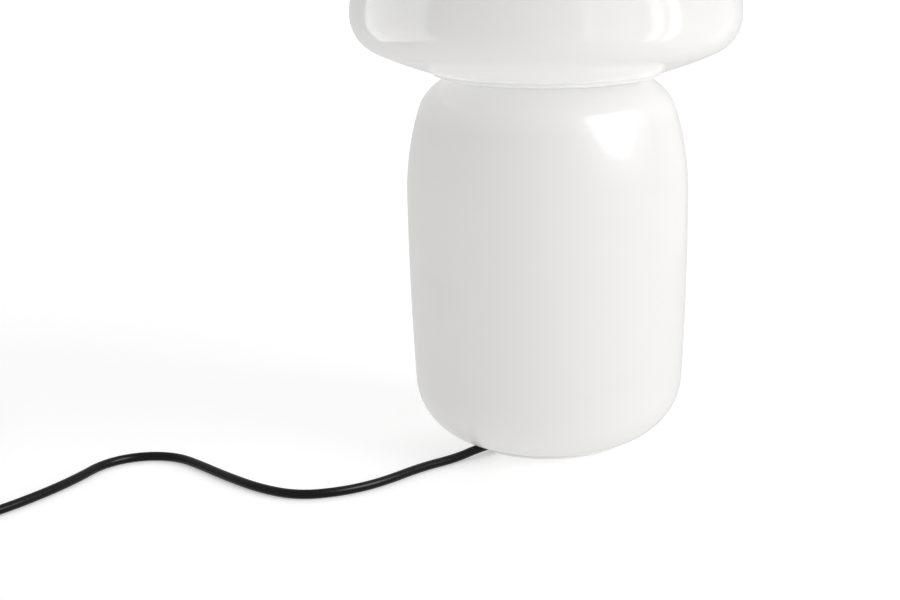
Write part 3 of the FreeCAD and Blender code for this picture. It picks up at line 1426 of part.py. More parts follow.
plug_body = new_body("plug_body_form")
sections = []
for number, (along, across, upward, corner) in enumerate((
        (0.0, 0.0, 0.0, 0.5), (0.18, 0.12, 0.22, 0.62), (0.40, 0.45, 0.55, 0.78),
        (0.64, 0.85, 0.85, 0.94), (1.0, 1.0, 1.0, 1.0))):
    section = new_sketch(plug_body, "plug_section_%d" % number, "YZ_Plane")
    if along:
        bind(section, "AttachmentOffset.Base.z", S.plug_length * along)
    width = S.plug_rear_width + (S.plug_width - S.plug_rear_width) * across
    height = S.plug_rear_height + (S.plug_height - S.plug_rear_height) * upward
    corners, arcs = plan(width, height, S.plug_corner * corner)
    outline(section, [(x, y + plug_axis) for x, y in corners], arcs)
    sections.append(section)
document.recompute()
loft = plug_body.newObject("PartDesign::AdditiveLoft", "plug_loft")
loft.Profile = sections[0]
loft.Sections = [(section, [""]) for section in sections[1:]]
loft.Ruled = True
plug_body.Tip = loft
document.recompute()
pin_half = S.pin_spacing / 2
socket_depth = S.sleeve_length * 0.8
pin_sockets = [
    cylinder("pin_socket_" + side, S.sleeve_radius + S.fit, socket_depth + 1.0,
             S.plug_length - socket_depth, y, plug_axis, ALONG_X)
    for side, y in (("left", -pin_half), ("right", pin_half))]
plug_whole = cut("plug_body", plug_body, pin_sockets)
plug_whole.Placement = plug_place
keep(plug_whole, "plug_body")

# Each pin: a thin root inside its sleeve and a full bright end.
sleeve_start = S.plug_length - socket_depth + S.slip
sleeve_end = S.plug_length + S.sleeve_length
pin_list = []
sleeve_list = []
for side, y in (("left", -pin_half), ("right", pin_half)):
    pin_root = cylinder("pin_root_" + side, S.sleeve_core, sleeve_end - sleeve_start,
                        sleeve_start, y, plug_axis, ALONG_X)
    pin_end = cylinder("pin_end_" + side, S.plug_pin_radius,
                       S.plug_pin_length - S.sleeve_length, sleeve_end, y, plug_axis, ALONG_X)
    pin_list.append(fused("pin_" + side, [pin_root, pin_end]))
    sleeve_outside = cylinder("sleeve_outside_" + side, S.sleeve_radius,
                              sleeve_end - sleeve_start, sleeve_start, y, plug_axis, ALONG_X)
    sleeve_inside = cylinder("sleeve_inside_" + side, S.sleeve_core + S.fit,
                             sleeve_end - sleeve_start + 2.0, sleeve_start - 1.0, y, plug_axis,
                             ALONG_X)
    sleeve_list.append(cut("sleeve_" + side, sleeve_outside, [sleeve_inside]))
plug_pins = compound("plug_pins", pin_list)
plug_pins.Placement = plug_place
keep(plug_pins, "plug_pins")
plug_sleeves = compound("plug_sleeves", sleeve_list)
plug_sleeves.Placement = plug_place
keep(plug_sleeves, "plug_sleeves")


# Checks before anything is written.
document.recompute()
for thing in document.Objects:
    state = list(thing.State)
    if "Invalid" in state or "Error" in state:
        raise RuntimeError("%s: %s" % (thing.Name, state))
for name, thing in nodes.items():
    shape = thing.Shape
    assert thing.Label == name, name
    assert not shape.isNull(), name
    assert shape.isValid(), name
    assert shape.Solids, name
    assert shape.Volume > 0, name

os.makedirs("parts", exist_ok=True)
for name, thing in nodes.items():
    thing.Shape.exportStep("parts/" + name + ".step")
    bounds = thing.Shape.BoundBox
    print("%-18s %d solids, x %.1f..%.1f y %.1f..%.1f z %.1f..%.1f, volume %.0f" % (
        name, len(thing.Shape.Solids), bounds.XMin, bounds.XMax, bounds.YMin, bounds.YMax,
        bounds.ZMin, bounds.ZMax, thing.Shape.Volume))
print("equator %.2f, crown %.2f, shoulder under the ring %.2f mm" % (
    equator.value, crown.value, shoulder_level.value))
print("switch middle %.2f %.2f, coil centre %.2f %.2f, coil exit %.2f %.2f" % (
    switch_middle.x, switch_middle.y, centre.x, centre.y, coil_exit.x, coil_exit.y))
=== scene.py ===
# %% [markdown]
# A mushroom table lamp: a barrel-shaped body of opal glass, a wide opal shade that only rests
# on its shoulder, and a glossy black lead that leaves the body through a notch in its foot.
# The imported model is loaded first. It is the frame that every piece of this file sits on.

# %% The frame
import json
import math
from collections import namedtuple

import bmesh
import bpy
from mathutils import Matrix, Vector

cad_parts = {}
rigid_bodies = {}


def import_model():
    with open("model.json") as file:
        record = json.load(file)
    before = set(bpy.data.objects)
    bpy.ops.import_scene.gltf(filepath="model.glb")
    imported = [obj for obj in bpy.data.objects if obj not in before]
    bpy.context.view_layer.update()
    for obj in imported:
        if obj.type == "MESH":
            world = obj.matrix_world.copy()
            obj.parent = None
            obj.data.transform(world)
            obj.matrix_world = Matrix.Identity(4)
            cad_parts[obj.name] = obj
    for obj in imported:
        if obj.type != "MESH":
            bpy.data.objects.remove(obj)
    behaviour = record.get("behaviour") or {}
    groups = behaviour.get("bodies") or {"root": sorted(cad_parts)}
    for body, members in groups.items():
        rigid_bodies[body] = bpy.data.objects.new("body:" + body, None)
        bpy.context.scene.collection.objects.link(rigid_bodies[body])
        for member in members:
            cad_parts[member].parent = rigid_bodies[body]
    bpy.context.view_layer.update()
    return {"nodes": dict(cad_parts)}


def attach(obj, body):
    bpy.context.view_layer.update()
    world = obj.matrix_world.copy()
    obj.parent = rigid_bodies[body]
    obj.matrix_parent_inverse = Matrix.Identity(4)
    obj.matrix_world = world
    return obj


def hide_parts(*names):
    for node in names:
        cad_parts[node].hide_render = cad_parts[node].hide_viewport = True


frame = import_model()
mm = 0.001

# %% [markdown]
# The camera stands about a metre in front of the lamp, just above the height of its top, and
# looks a little down. It was found by fitting the outline of the glass. The picture is the
# left part of a wider one, so the view is shifted sideways instead of turned, and the lamp's
# axis stays upright.


# %% The camera
def add_object(name, data):
    """An object with this data, linked to the scene."""
    made = bpy.data.objects.new(name, data)
    bpy.context.scene.collection.objects.link(made)
    return made


camera_dip = 13.83
camera_data = bpy.data.cameras.new("camera")
camera_data.sensor_width = 36.0
camera_data.lens = 72.0
camera_data.shift_x = -1 / 6
camera = add_object("camera", camera_data)
camera.location = Vector((32.56, -1112.0, 363.3)) * mm
camera.rotation_euler = (math.radians(90.0 - camera_dip), 0.0, 0.0)
bpy.context.scene.camera = camera
print("camera at", [round(value, 3) for value in camera.location], "m, dips", camera_dip)

# %% [markdown]
# Small helpers for finishes. A colour is written the way a picker shows it, in sRGB hex, and
# turned to the linear numbers that a shader wants. One function adds a shader node with its
# settings and links. A finish is a material kept together with its node tree and its shader.

# %% Colours and nodes
Finish = namedtuple("Finish", "material tree shader")


def colour(code):
    """The linear RGBA of an sRGB hex code."""
    channels = [int(code[i:i + 2], 16) / 255 for i in (0, 2, 4)]
    linear = [c / 12.92 if c <= 0.04045 else ((c + 0.055) / 1.055) ** 2.4 for c in channels]
    return (*linear, 1.0)


def add_node(tree, kind, sockets=None, **settings):
    """Add a node. A socket's value is a constant, or another node's output, which is linked."""
    node = tree.nodes.new(kind)
    for name, value in settings.items():
        setattr(node, name, value)
    for name, value in (sockets or {}).items():
        socket = node.inputs[name]
        if isinstance(value, bpy.types.NodeSocket):
            tree.links.new(value, socket)
        else:
            socket.default_value = value
    return node


def new_finish(name, sockets):
    """A finish with one Principled shader, whose constant sockets are given."""
    material = bpy.data.materials.new(name)
    material.use_nodes = True
    tree = material.node_tree
    tree.nodes.clear()
    shader = add_node(tree, "ShaderNodeBsdfPrincipled", sockets)
    add_node(tree, "ShaderNodeOutputMaterial", {"Surface": shader.outputs["BSDF"]})
    return Finish(material, tree, shader)


def feed(finish, socket, output):
    """Let the output of a node set a socket of the finish's shader."""
    finish.tree.links.new(output, finish.shader.inputs[socket])


print("white is", colour("FFFFFF"), "and mid grey", colour("808080"))

# %% [markdown]
# Opal glass is clear glass with a milky white layer in it. It sends back a little over half
# of the light that meets it and lets the rest through, and its outside has the hard, nearly
# smooth polish of blown glass. Light that comes through from the far side makes the wall glow
# a little, even in the crease under the shade. A path tracer could follow that light, but
# slowly, so here a faint emission stands for it. Blown glass is never quite even, so a very
# wide, very shallow bump bends the reflections.

# %% Opal glass
glow = 0.22
wave_width = 70.0 * mm
wave_lift = 2.0 * mm
even_scatter = (1.0, 1.0, 1.0)


def blow_opal(name):
    """A blown opal finish with shallow waves, and the node that gives it its coordinates."""
    finish = new_finish(name, {
        "Base Color": colour("C6C5C4"),
        "Roughness": 0.12,
        "IOR": 1.45,
        "Specular IOR Level": 0.4,
        "Subsurface Weight": 0.3,
        "Subsurface Radius": even_scatter,
        "Subsurface Scale": 3.0 * mm,
        "Emission Color": colour("FFFFFE"),
        "Emission Strength": glow,
    })
    place = add_node(finish.tree, "ShaderNodeTexCoord")
    waves = add_node(finish.tree, "ShaderNodeTexNoise", {
        "Vector": place.outputs["Object"], "Scale": 1 / wave_width, "Detail": 1.0})
    bump = add_node(finish.tree, "ShaderNodeBump", {
        "Height": waves.outputs["Fac"], "Strength": 0.06, "Distance": wave_lift})
    feed(finish, "Normal", bump.outputs["Normal"])
    return finish, place


shade_opal = blow_opal("blown_opal_glass_shade")[0]
body_opal, body_place = blow_opal("blown_opal_glass_body")
print("opal glass glows by", glow)

# %% [markdown]
# Towards the neck the body glows a little more. This is painted light: extra emission that
# brightens the crease under the shade, standing for the light under the shade that meets the
# shoulder from both sides of the wall. The height above the floor sets how much.

# %% The glow of the shoulder
shoulder_starts = 206.0 * mm
shoulder_ends = 233.0 * mm
# painted glow: extra emission that lightens the crease under the shade
painted_extra_glow = 0.1
height_read = add_node(body_opal.tree, "ShaderNodeSeparateXYZ", {
    "Vector": body_place.outputs["Object"]})
painted_shoulder_glow = add_node(body_opal.tree, "ShaderNodeMapRange", {
    "Value": height_read.outputs["Z"], "From Min": shoulder_starts, "From Max": shoulder_ends,
    "To Min": glow, "To Max": glow + painted_extra_glow})
feed(body_opal, "Emission Strength", painted_shoulder_glow.outputs["Result"])
print("the shoulder glows by", round(glow + painted_extra_glow, 2), "at the neck")

# %% [markdown]
# The other finishes are all even at arm's length and alive close up: plating, moulding, glaze
# and paint each have a grain of their own size. One helper gives a finish its grain. Spots
# of a real size in millimetres make it a little more or less rough, and lift it by a few
# hundredths of a millimetre at most. The finest real grains, of moulded plastic and rubber,
# are drawn as coarse as they need to show. Only what changes over the surface goes through
# nodes. A constant stays on the shader's own socket.


# %% Grain
def give_grain(finish, size, smooth, rough, lift=0.0, stretch=(1.0, 1.0, 1.0)):
    """Spots of a size in mm vary a finish's roughness, and its height by lift in mm."""
    place = add_node(finish.tree, "ShaderNodeTexCoord")
    drawn = add_node(finish.tree, "ShaderNodeMapping", {
        "Vector": place.outputs["Object"], "Scale": stretch})
    spots = add_node(finish.tree, "ShaderNodeTexNoise", {
        "Vector": drawn.outputs["Vector"], "Scale": 1 / (size * mm), "Detail": 3.0})
    gloss = add_node(finish.tree, "ShaderNodeMapRange", {
        "Value": spots.outputs["Fac"], "From Min": 0.3, "From Max": 0.7,
        "To Min": smooth, "To Max": rough})
    feed(finish, "Roughness", gloss.outputs["Result"])
    if lift:
        relief = add_node(finish.tree, "ShaderNodeBump", {
            "Height": spots.outputs["Fac"], "Strength": 1.0, "Distance": lift * mm})
        feed(finish, "Normal", relief.outputs["Normal"])
    print(finish.material.name, "has a grain of", size, "mm")
    return spots


def tint(finish, spots, first, second):
    """Let the colour drift between two hex codes with the spots."""
    drift = add_node(finish.tree, "ShaderNodeMapRange", {
        "Value": spots.outputs["Fac"], "From Min": 0.35, "From Max": 0.65})
    mixed = add_node(finish.tree, "ShaderNodeMix", {
        "Factor": drift.outputs["Result"], "A": colour(first), "B": colour(second)},
        data_type="RGBA")
    feed(finish, "Base Color", mixed.outputs["Result"])


# %% [markdown]
# The lead is sheathed in black PVC, extruded and so semi-gloss, and only faintly uneven. The
# switch and the plug are moulded in black ABS, a little greyer, with the fine even bite that
# a spark-eroded mould leaves. Buttons and sleeves come from a polished mould. Rubber is the
# dullest of the four.

# %% Black plastics and rubber
black_pvc = new_finish("extruded_black_pvc", {
    "Base Color": colour("070708"), "IOR": 1.53, "Specular IOR Level": 0.25})
give_grain(black_pvc, size=1.2, smooth=0.20, rough=0.30, lift=0.004)
black_abs = new_finish("spark_eroded_black_abs", {"Base Color": colour("131314"), "IOR": 1.54})
give_grain(black_abs, size=0.45, smooth=0.38, rough=0.52, lift=0.03)
black_button = new_finish("polished_black_polycarbonate", {
    "Base Color": colour("0D0D0E"), "IOR": 1.58})
give_grain(black_button, size=2.5, smooth=0.14, rough=0.22)
black_rubber = new_finish("moulded_black_rubber", {"Base Color": colour("161617"), "IOR": 1.52})
give_grain(black_rubber, size=0.7, smooth=0.58, rough=0.78, lift=0.02)

# %% [markdown]
# Clear silicone is what keeps glass off glass. It is milky and soft-looking, and in a thin
# strip it takes the tone of the glass it lies on, glow included. So it scatters light as the
# opal glass does, only with less gloss. Its faint emission is painted light: it paints on that
# glow, and it lightens the crease under the shade and the gap under the foot.

# %% Clear silicone
# painted glow: the emission lightens the crease under the shade and the gap under the foot
clear_silicone = new_finish("clear_silicone_rubber", {
    "Base Color": colour("C8C8C6"), "IOR": 1.41, "Subsurface Weight": 0.4,
    "Subsurface Radius": even_scatter, "Subsurface Scale": 4.0 * mm,
    "Emission Color": colour("FFFFFE"), "Emission Strength": 0.24})
give_grain(clear_silicone, size=3.0, smooth=0.30, rough=0.42)

# %% [markdown]
# Steel inside a lamp is either painted or plated. The pan and the basket are powder-coated
# white, which leaves the soft orange-peel waves of a melted coat, about a millimetre and a
# half apart. Nuts, washers, screws and the tube are zinc-plated: a blue-grey metal with
# clouds of straw colour where the passivation is thicker.

# %% Painted and plated steel
white_steel = new_finish("powder_coated_white_steel", {
    "Base Color": colour("E9E9E6"), "IOR": 1.5})
give_grain(white_steel, size=1.5, smooth=0.30, rough=0.40, lift=0.03)
zinc_steel = new_finish("passivated_zinc_plate", {
    "Base Color": colour("BEC3C9"), "Metallic": 1.0})
zinc_clouds = give_grain(zinc_steel, size=4.0, smooth=0.26, rough=0.44, lift=0.004)
tint(zinc_steel, zinc_clouds, "B9C0CA", "CFC9B8")

# %% [markdown]
# The live parts are copper alloys. Pressed brass is yellow, and browner in clouds where it has
# begun to dull. The spring contact is phosphor bronze, redder, and rolled along the strip. The
# cap of the bulb and the pins of the plug are nickel on brass, with fine drawn marks that run
# upright, along the axis of the bulb.

# %% Brass, bronze and nickel
brass = new_finish("pressed_brass", {"Base Color": colour("D9B25F"), "Metallic": 1.0})
brass_clouds = give_grain(brass, size=2.5, smooth=0.20, rough=0.36, lift=0.003)
tint(brass, brass_clouds, "DDB968", "BF9244")
bronze = new_finish("phosphor_bronze_strip", {"Base Color": colour("C2875A"), "Metallic": 1.0})
bronze_clouds = give_grain(bronze, size=1.5, smooth=0.22, rough=0.38, lift=0.002,
                           stretch=(1.0, 0.2, 1.0))
tint(bronze, bronze_clouds, "C98F60", "A86F45")
nickel = new_finish("drawn_nickel_plate", {"Base Color": colour("CFCABD"), "Metallic": 1.0})
give_grain(nickel, size=1.0, smooth=0.14, rough=0.28, lift=0.003, stretch=(1.0, 1.0, 0.15))

# %% [markdown]
# The holder is moulded in a white thermoset, satin and faintly cream. Its insulator is
# porcelain with a clear glaze that pools and pits a little. The bulb's cap ends in black
# sealing glass.

# %% Holder plastic, porcelain and sealing glass
white_holder = new_finish("white_moulded_thermoset", {
    "Base Color": colour("E8E6E0"), "IOR": 1.56})
give_grain(white_holder, size=0.6, smooth=0.34, rough=0.46, lift=0.015)
porcelain = new_finish("glazed_porcelain", {
    "Base Color": colour("F0EDE6"), "IOR": 1.52, "Coat Weight": 0.6, "Coat Roughness": 0.05})
give_grain(porcelain, size=5.0, smooth=0.10, rough=0.22, lift=0.02)
sealing_glass = new_finish("black_sealing_glass", {"Base Color": colour("08080B"), "IOR": 1.6})
give_grain(sealing_glass, size=2.0, smooth=0.05, rough=0.16, lift=0.03)

# %% [markdown]
# The bulb's globe is opal polycarbonate, frosted by the diffuser powder in it, and its
# housing is white plastic over the heat sink. Inside is a driver board under green solder
# mask, whose copper tracks show as paler lines.

# %% Bulb and driver board
frosted_globe = new_finish("frosted_polycarbonate_globe", {
    "Base Color": colour("F2F1EC"), "IOR": 1.58, "Subsurface Weight": 0.6,
    "Subsurface Radius": (1.0, 1.0, 0.9), "Subsurface Scale": 6.0 * mm})
give_grain(frosted_globe, size=0.5, smooth=0.40, rough=0.50, lift=0.006)
bulb_plastic = new_finish("white_pbt_housing", {"Base Color": colour("EAE9E4"), "IOR": 1.55})
give_grain(bulb_plastic, size=0.8, smooth=0.30, rough=0.40, lift=0.012)
circuit_board = new_finish("green_solder_mask", {"Base Color": colour("0E5A30"), "IOR": 1.5})
give_grain(circuit_board, size=1.0, smooth=0.16, rough=0.28)
track_pitch = 4.0 * mm
board_place = add_node(circuit_board.tree, "ShaderNodeTexCoord")
board_tracks = add_node(circuit_board.tree, "ShaderNodeTexBrick", {
    "Vector": board_place.outputs["Object"], "Scale": 1 / track_pitch, "Mortar Size": 0.06,
    "Color1": colour("0E5A30"), "Color2": colour("0B4F2A"), "Mortar": colour("3C8C58")})
feed(circuit_board, "Base Color", board_tracks.outputs["Color"])

# %% [markdown]
# The light of the bulb comes from eight packages of yellow phosphor gel on an aluminium board
# with fine rolling marks. The single cores inside the lamp and the switch have a brown sheath.

# %% Light board, gel and cores
board_aluminium = new_finish("rolled_aluminium_board", {
    "Base Color": colour("D9DADB"), "Metallic": 1.0})
give_grain(board_aluminium, size=1.2, smooth=0.24, rough=0.40, lift=0.003,
           stretch=(1.0, 0.1, 1.0))
phosphor_gel = new_finish("yellow_phosphor_gel", {
    "Base Color": colour("F1CE45"), "IOR": 1.45, "Subsurface Weight": 0.2,
    "Subsurface Radius": (1.0, 0.8, 0.3), "Subsurface Scale": 1.0 * mm})
gel_specks = give_grain(phosphor_gel, size=0.3, smooth=0.20, rough=0.36, lift=0.01)
tint(phosphor_gel, gel_specks, "F5D652", "E5BC35")
core_sheath = new_finish("brown_pvc_core", {"Base Color": colour("6E452B"), "IOR": 1.53})
give_grain(core_sheath, size=1.0, smooth=0.28, rough=0.40, lift=0.004)

# %% [markdown]
# The lead from the notch to the in-line switch lies as it does in the photograph. It is one
# smooth spline whose control points are the route of the solid, here in millimetres. The order
# and the end points are set after the points are there, because before that they don't hold.

# %% The lead
cord_diameter = 5.5 * mm
cord_radius = cord_diameter / 2


def lead_piece(name, route, replaced):
    """A round lead along a route in millimetres."""
    curve = bpy.data.curves.new(name, "CURVE")
    curve.dimensions = "3D"
    curve.bevel_depth = cord_radius
    curve.bevel_resolution = 6
    curve.resolution_u = 8
    curve.use_fill_caps = True
    spline = curve.splines.new("NURBS")
    spline.points.add(len(route) - 1)
    for point, place in zip(spline.points, route):
        point.co = (*[value * mm for value in place], 1.0)
    spline.order_u = 3
    spline.use_endpoint_u = True
    piece = add_object(name, curve)
    curve.materials.append(black_pvc.material)
    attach(piece, "base")
    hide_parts(*replaced)
    print(name, "has", len(route), "control points")
    return piece


# Heights of the lead's axis in millimetres: on the floor, in the notch and at the switch.
rest = 2.75
exit_height = 5.0
switch_axis = 8.85
exit_start = 45.0 * math.sqrt(0.5)
cord_route = [
    (-exit_start, -exit_start, exit_height), (-43.5, -43.5, exit_height),
    (-56.0, -55.5, rest), (-76.5, -73.0, rest), (-97.5, -100.5, rest),
    (-118.0, -116.0, rest), (-142.5, -123.0, rest), (-166.0, -112.0, rest),
    (-190.5, -90.5, rest), (-212.0, -68.5, rest), (-227.0, -55.0, rest),
    (-244.0, -51.0, rest), (-260.5, -56.5, rest), (-272.5, -70.0, rest),
    (-278.5, -89.0, rest), (-288.0, -111.5, rest), (-303.0, -138.5, rest),
    (-317.5, -158.5, rest), (-333.5, -168.0, rest), (-352.5, -167.9, rest),
    (-368.3, -157.6, 5.1), (-376.8, -141.335, switch_axis), (-386.0, -125.4, switch_axis),
]
lead = lead_piece("lead", cord_route, ["cord"])

# %% [markdown]
# Past the switch the photograph ends, so the rest of the lead is wound up for the shelf: from
# the outside in along the top, down through the middle turn, and out again underneath, to
# the plug. The coil starts where the lead, going straight on from the switch, touches it.

# %% Where the coil lies
shell_half = 31.0
boot_length = 22.0
bury = 5.5  # how far a lead reaches into a boot
half_switch = shell_half + boot_length
to_coil = 131.0
way = Vector((-0.5, math.sqrt(0.75), 0.0))
lead_end = Vector(cord_route[-1])
switch_middle = lead_end + way * (half_switch - bury)
lead_out = switch_middle + way * (half_switch - bury)
coil_entry = lead_end + way * to_coil
coil_radius = 39.5
coil_pitch = 6.1
coil_centre = coil_entry + Vector((way.y, -way.x, 0.0)) * coil_radius
print("coil about", round(coil_centre.x), round(coil_centre.y), "mm")

# %% [markdown]
# The turns are control points of the same kind of spline, sixteen to a turn. Such a spline
# cuts inside its control points, so they lie outside the true circle by the share that brings
# it back onto it.

# %% The wound lead
inward_turns = 2.8
half_turn = 0.5
missing_turn = 1 / 60  # the last six degrees are left out, where the lead leaves for the plug
total_turns = 2 * inward_turns + half_turn - missing_turn
entry_angle = math.radians(210.0)


def coil_point(turns):
    """A point of the wound lead, this many turns after it starts."""
    inner = coil_radius - coil_pitch * inward_turns
    if turns < inward_turns:
        radius, height = coil_radius - coil_pitch * turns, coil_entry.z
    elif turns < inward_turns + half_turn:
        share = (turns - inward_turns) / half_turn
        radius = inner - coil_pitch / 8 * math.sin(math.pi * share)
        height = coil_entry.z + (rest - coil_entry.z) * share * share * (3 - 2 * share)
    else:
        radius, height = inner + coil_pitch * (turns - inward_turns - half_turn), rest
    angle = entry_angle - 2 * math.pi * turns
    return (coil_centre.x + radius * math.cos(angle),
            coil_centre.y + radius * math.sin(angle), height)


points_per_turn = 16
swell = 1 / (0.75 + 0.25 * math.cos(2 * math.pi / points_per_turn))
steps = round(total_turns * points_per_turn)
coil_route = [tuple(lead_out), tuple(lead_out + (coil_entry - lead_out) * 0.55)]
for number in range(steps + 1):
    x, y, z = coil_point(total_turns * number / steps)
    coil_route.append((coil_centre.x + (x - coil_centre.x) * swell,
                       coil_centre.y + (y - coil_centre.y) * swell, z))
exit_x, exit_y = coil_point(total_turns)[:2]
plug_height = 6.85
plug_reach = 36.0
coil_route += [
    (exit_x, exit_y + 12.0, rest),
    (exit_x, exit_y + 24.0, plug_height),
    (exit_x, exit_y + plug_reach, plug_height),
]
wound_lead = lead_piece("wound_lead", coil_route, ["switch_lead", "cord_coil", "plug_lead"])

# %% [markdown]
# Glass and boots are forms of revolution. A vertex swung about the centre of an arc draws
# that arc, and a chain of arcs and lines is a section. The section is then spun about its
# axis. The sizes are those of the solid, in metres.


# %% Section tools
def draw_line(bm, vertex, x, z):
    """Draw a straight edge from a vertex to a point of the XZ plane; returns its end."""
    end = bm.verts.new((x, 0.0, z))
    bm.edges.new((vertex, end))
    return end


def swing(bm, vertex, centre, degrees, steps):
    """Draw an arc in the XZ plane by swinging a vertex about a centre; returns its end."""
    made = bmesh.ops.spin(
        bm, geom=[vertex], cent=(centre[0], 0.0, centre[1]), axis=(0.0, 1.0, 0.0),
        angle=math.radians(degrees), steps=steps)
    return [part for part in made["geom_last"] if isinstance(part, bmesh.types.BMVert)][0]


def bearing(centre, x, z):
    """The angle at which a point is seen from a centre, turning the way swing() turns."""
    return -math.degrees(math.atan2(z - centre[1], x - centre[0]))


def swing_to(bm, vertex, centre, x, z, steps):
    """Swing a vertex about a centre, the short way, until it reaches the point."""
    turn = bearing(centre, x, z) - bearing(centre, vertex.co.x, vertex.co.z)
    turn = (turn + 180.0) % 360.0 - 180.0
    return swing(bm, vertex, centre, turn, steps)


def spin_section(bm, start, moves, steps=256):
    """Draw a closed section from moves, each a tool and what it needs, and spin it about Z."""
    vertex = start
    for tool, *needs in moves:
        vertex = tool(bm, vertex, *needs)
    bm.edges.new((vertex, start))
    print("section of", len(bm.verts), "points")
    bmesh.ops.spin(bm, geom=bm.verts[:] + bm.edges[:], cent=(0.0, 0.0, 0.0),
                   axis=(0.0, 0.0, 1.0), angle=math.tau, steps=steps, use_merge=True)
    bmesh.ops.remove_doubles(bm, verts=bm.verts, dist=0.02 * mm)
    bmesh.ops.recalc_face_normals(bm, faces=bm.faces)


# %% [markdown]
# A bmesh becomes a mesh, and the mesh an object with one finish. A piece of the lamp also
# says which body of the frame it rides on and which solids it stands for. It stays at the
# origin, with its place in its mesh.


# %% Pieces
def mesh_of(bm, name):
    """The mesh of a bmesh, which is freed."""
    mesh = bpy.data.meshes.new(name)
    bm.to_mesh(mesh)
    bm.free()
    return mesh


def finished_object(bm, name, finish):
    """An object made from a bmesh, with one finish."""
    mesh = mesh_of(bm, name)
    mesh.materials.append(finish.material)
    return add_object(name, mesh)


def add_piece(bm, name, body, finish, replaces=(), smooth=True):
    """A piece made from a bmesh, which rides on a body of the frame."""
    piece = finished_object(bm, name, finish)
    for polygon in piece.data.polygons:
        polygon.use_smooth = smooth
    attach(piece, body)
    if replaces:
        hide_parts(*replaces)
    print(name, "has", len(piece.data.polygons), "faces")
    return piece


# %% [markdown]
# The fittings on the lead. A strain relief is a soft tapered boot. Its rubber is cut by ring
# grooves, so that it bends a little more easily towards its tip. One section, spun about the
# boot's axis, gives the taper, the grooves and the bore together. Each boot is then turned
# and set against its housing.


# %% Strain reliefs
def boot(bm, length, root, tip, grooves, place):
    """A grooved boot along Z from its root at the origin, with its place given by a matrix."""
    plain_end = 2.0 * mm
    groove_depth = 0.7
    groove = ((0.0, 0.0), (0.48, 0.0), (0.56, groove_depth), (0.92, groove_depth))
    bore = cord_radius + 0.03 * mm
    pitch = (length - 2 * plain_end) / grooves
    moves = [(draw_line, root, 0.0)]
    for number in range(grooves):
        for share, depth in groove:
            z = plain_end + pitch * (number + share)
            outside = root + (tip - root) * z / length
            moves.append((draw_line, outside - depth * mm * (0.5 + 0.5 * outside / root), z))
    moves += [
        (draw_line, tip, length - 1.2 * mm),
        (draw_line, tip - 0.5 * mm, length),
        (draw_line, bore, length),
    ]
    made = bmesh.new()
    spin_section(made, made.verts.new((bore, 0.0, 0.0)), moves, steps=48)
    bmesh.ops.transform(made, matrix=place, verts=made.verts)
    scratch = mesh_of(made, "boot")
    bm.from_mesh(scratch)
    bpy.data.meshes.remove(scratch)


switch_place = (Matrix.Translation((switch_middle.x * mm, switch_middle.y * mm, 0.0))
                @ Matrix.Rotation(math.radians(120.0), 4, "Z"))
pair = bmesh.new()
for side in (-1.0, 1.0):
    place = (switch_place @ Matrix.Translation((shell_half * mm * side, 0.0, switch_axis * mm))
             @ Matrix.Rotation(math.radians(90.0) * side, 4, "Y"))
    boot(pair, length=boot_length * mm, root=5.0 * mm, tip=3.6 * mm, grooves=6, place=place)
switch_boots = add_piece(pair, "switch_boots", "base", black_rubber,
                         ["switch_reliefs"], smooth=False)

plug_boot_length = 24.0
plug_boot_root = exit_y + plug_reach - bury + plug_boot_length
single = bmesh.new()
place = (Matrix.Translation((exit_x * mm, plug_boot_root * mm, plug_height * mm))
         @ Matrix.Rotation(math.radians(90.0), 4, "X"))
boot(single, length=plug_boot_length * mm, root=4.3 * mm, tip=3.5 * mm, grooves=7, place=place)
plug_boot = add_piece(single, "plug_boot", "base", black_rubber,
                      ["plug_relief"], smooth=False)

# %% [markdown]
# On the real switch a fine lip runs round the housing where the two shells meet, up to the
# boots, and the rocker sits in a raised frame. Both are rings of a rounded oblong: a square
# face whose corners are bevelled, inset, opened and given a height. The lip is cut off short
# of the boots on one side and mirrored.


# %% Lip of the switch
def oblong_ring(bm, half_length, half_width, corner, band, low, high):
    """A flat ring with rounded corners, from one height to another, in metres."""
    made = bmesh.ops.create_grid(bm, x_segments=1, y_segments=1, size=1.0)
    bmesh.ops.scale(bm, verts=made["verts"], vec=(half_length, half_width, 1.0))
    bmesh.ops.translate(bm, verts=made["verts"], vec=(0.0, 0.0, low))
    bmesh.ops.bevel(bm, geom=made["verts"], offset=corner, offset_type="OFFSET",
                    affect="VERTICES", segments=10, profile=0.5, material=-1)
    middle = bm.faces[:]
    bmesh.ops.inset_region(bm, faces=middle, thickness=band, use_boundary=True,
                           use_even_offset=True)
    bmesh.ops.delete(bm, geom=middle, context="FACES")
    grown = bmesh.ops.extrude_face_region(bm, geom=bm.faces[:])
    moved = [part for part in grown["geom"] if isinstance(part, bmesh.types.BMVert)]
    bmesh.ops.translate(bm, verts=moved, vec=(0.0, 0.0, high - low))
    bmesh.ops.recalc_face_normals(bm, faces=bm.faces)


shell_half_width = 13.0
proud = 0.25
boot_clear = 5.4
seam = bmesh.new()
oblong_ring(seam, half_length=(shell_half + proud) * mm,
            half_width=(shell_half_width + proud) * mm, corner=9.2 * mm, band=0.8 * mm,
            low=8.6 * mm, high=9.1 * mm)
bmesh.ops.bisect_plane(seam, geom=seam.verts[:] + seam.edges[:] + seam.faces[:],
                       plane_co=(0.0, boot_clear * mm, 0.0), plane_no=(0.0, 1.0, 0.0),
                       clear_inner=True)
bmesh.ops.holes_fill(seam, edges=[edge for edge in seam.edges if edge.is_boundary])
bmesh.ops.mirror(seam, geom=seam.verts[:] + seam.edges[:] + seam.faces[:], axis="Y",
                 merge_dist=0.0)
bmesh.ops.recalc_face_normals(seam, faces=seam.faces)
seam.transform(switch_place)
switch_lip = add_piece(seam, "switch_lip", "base", black_abs, smooth=False)

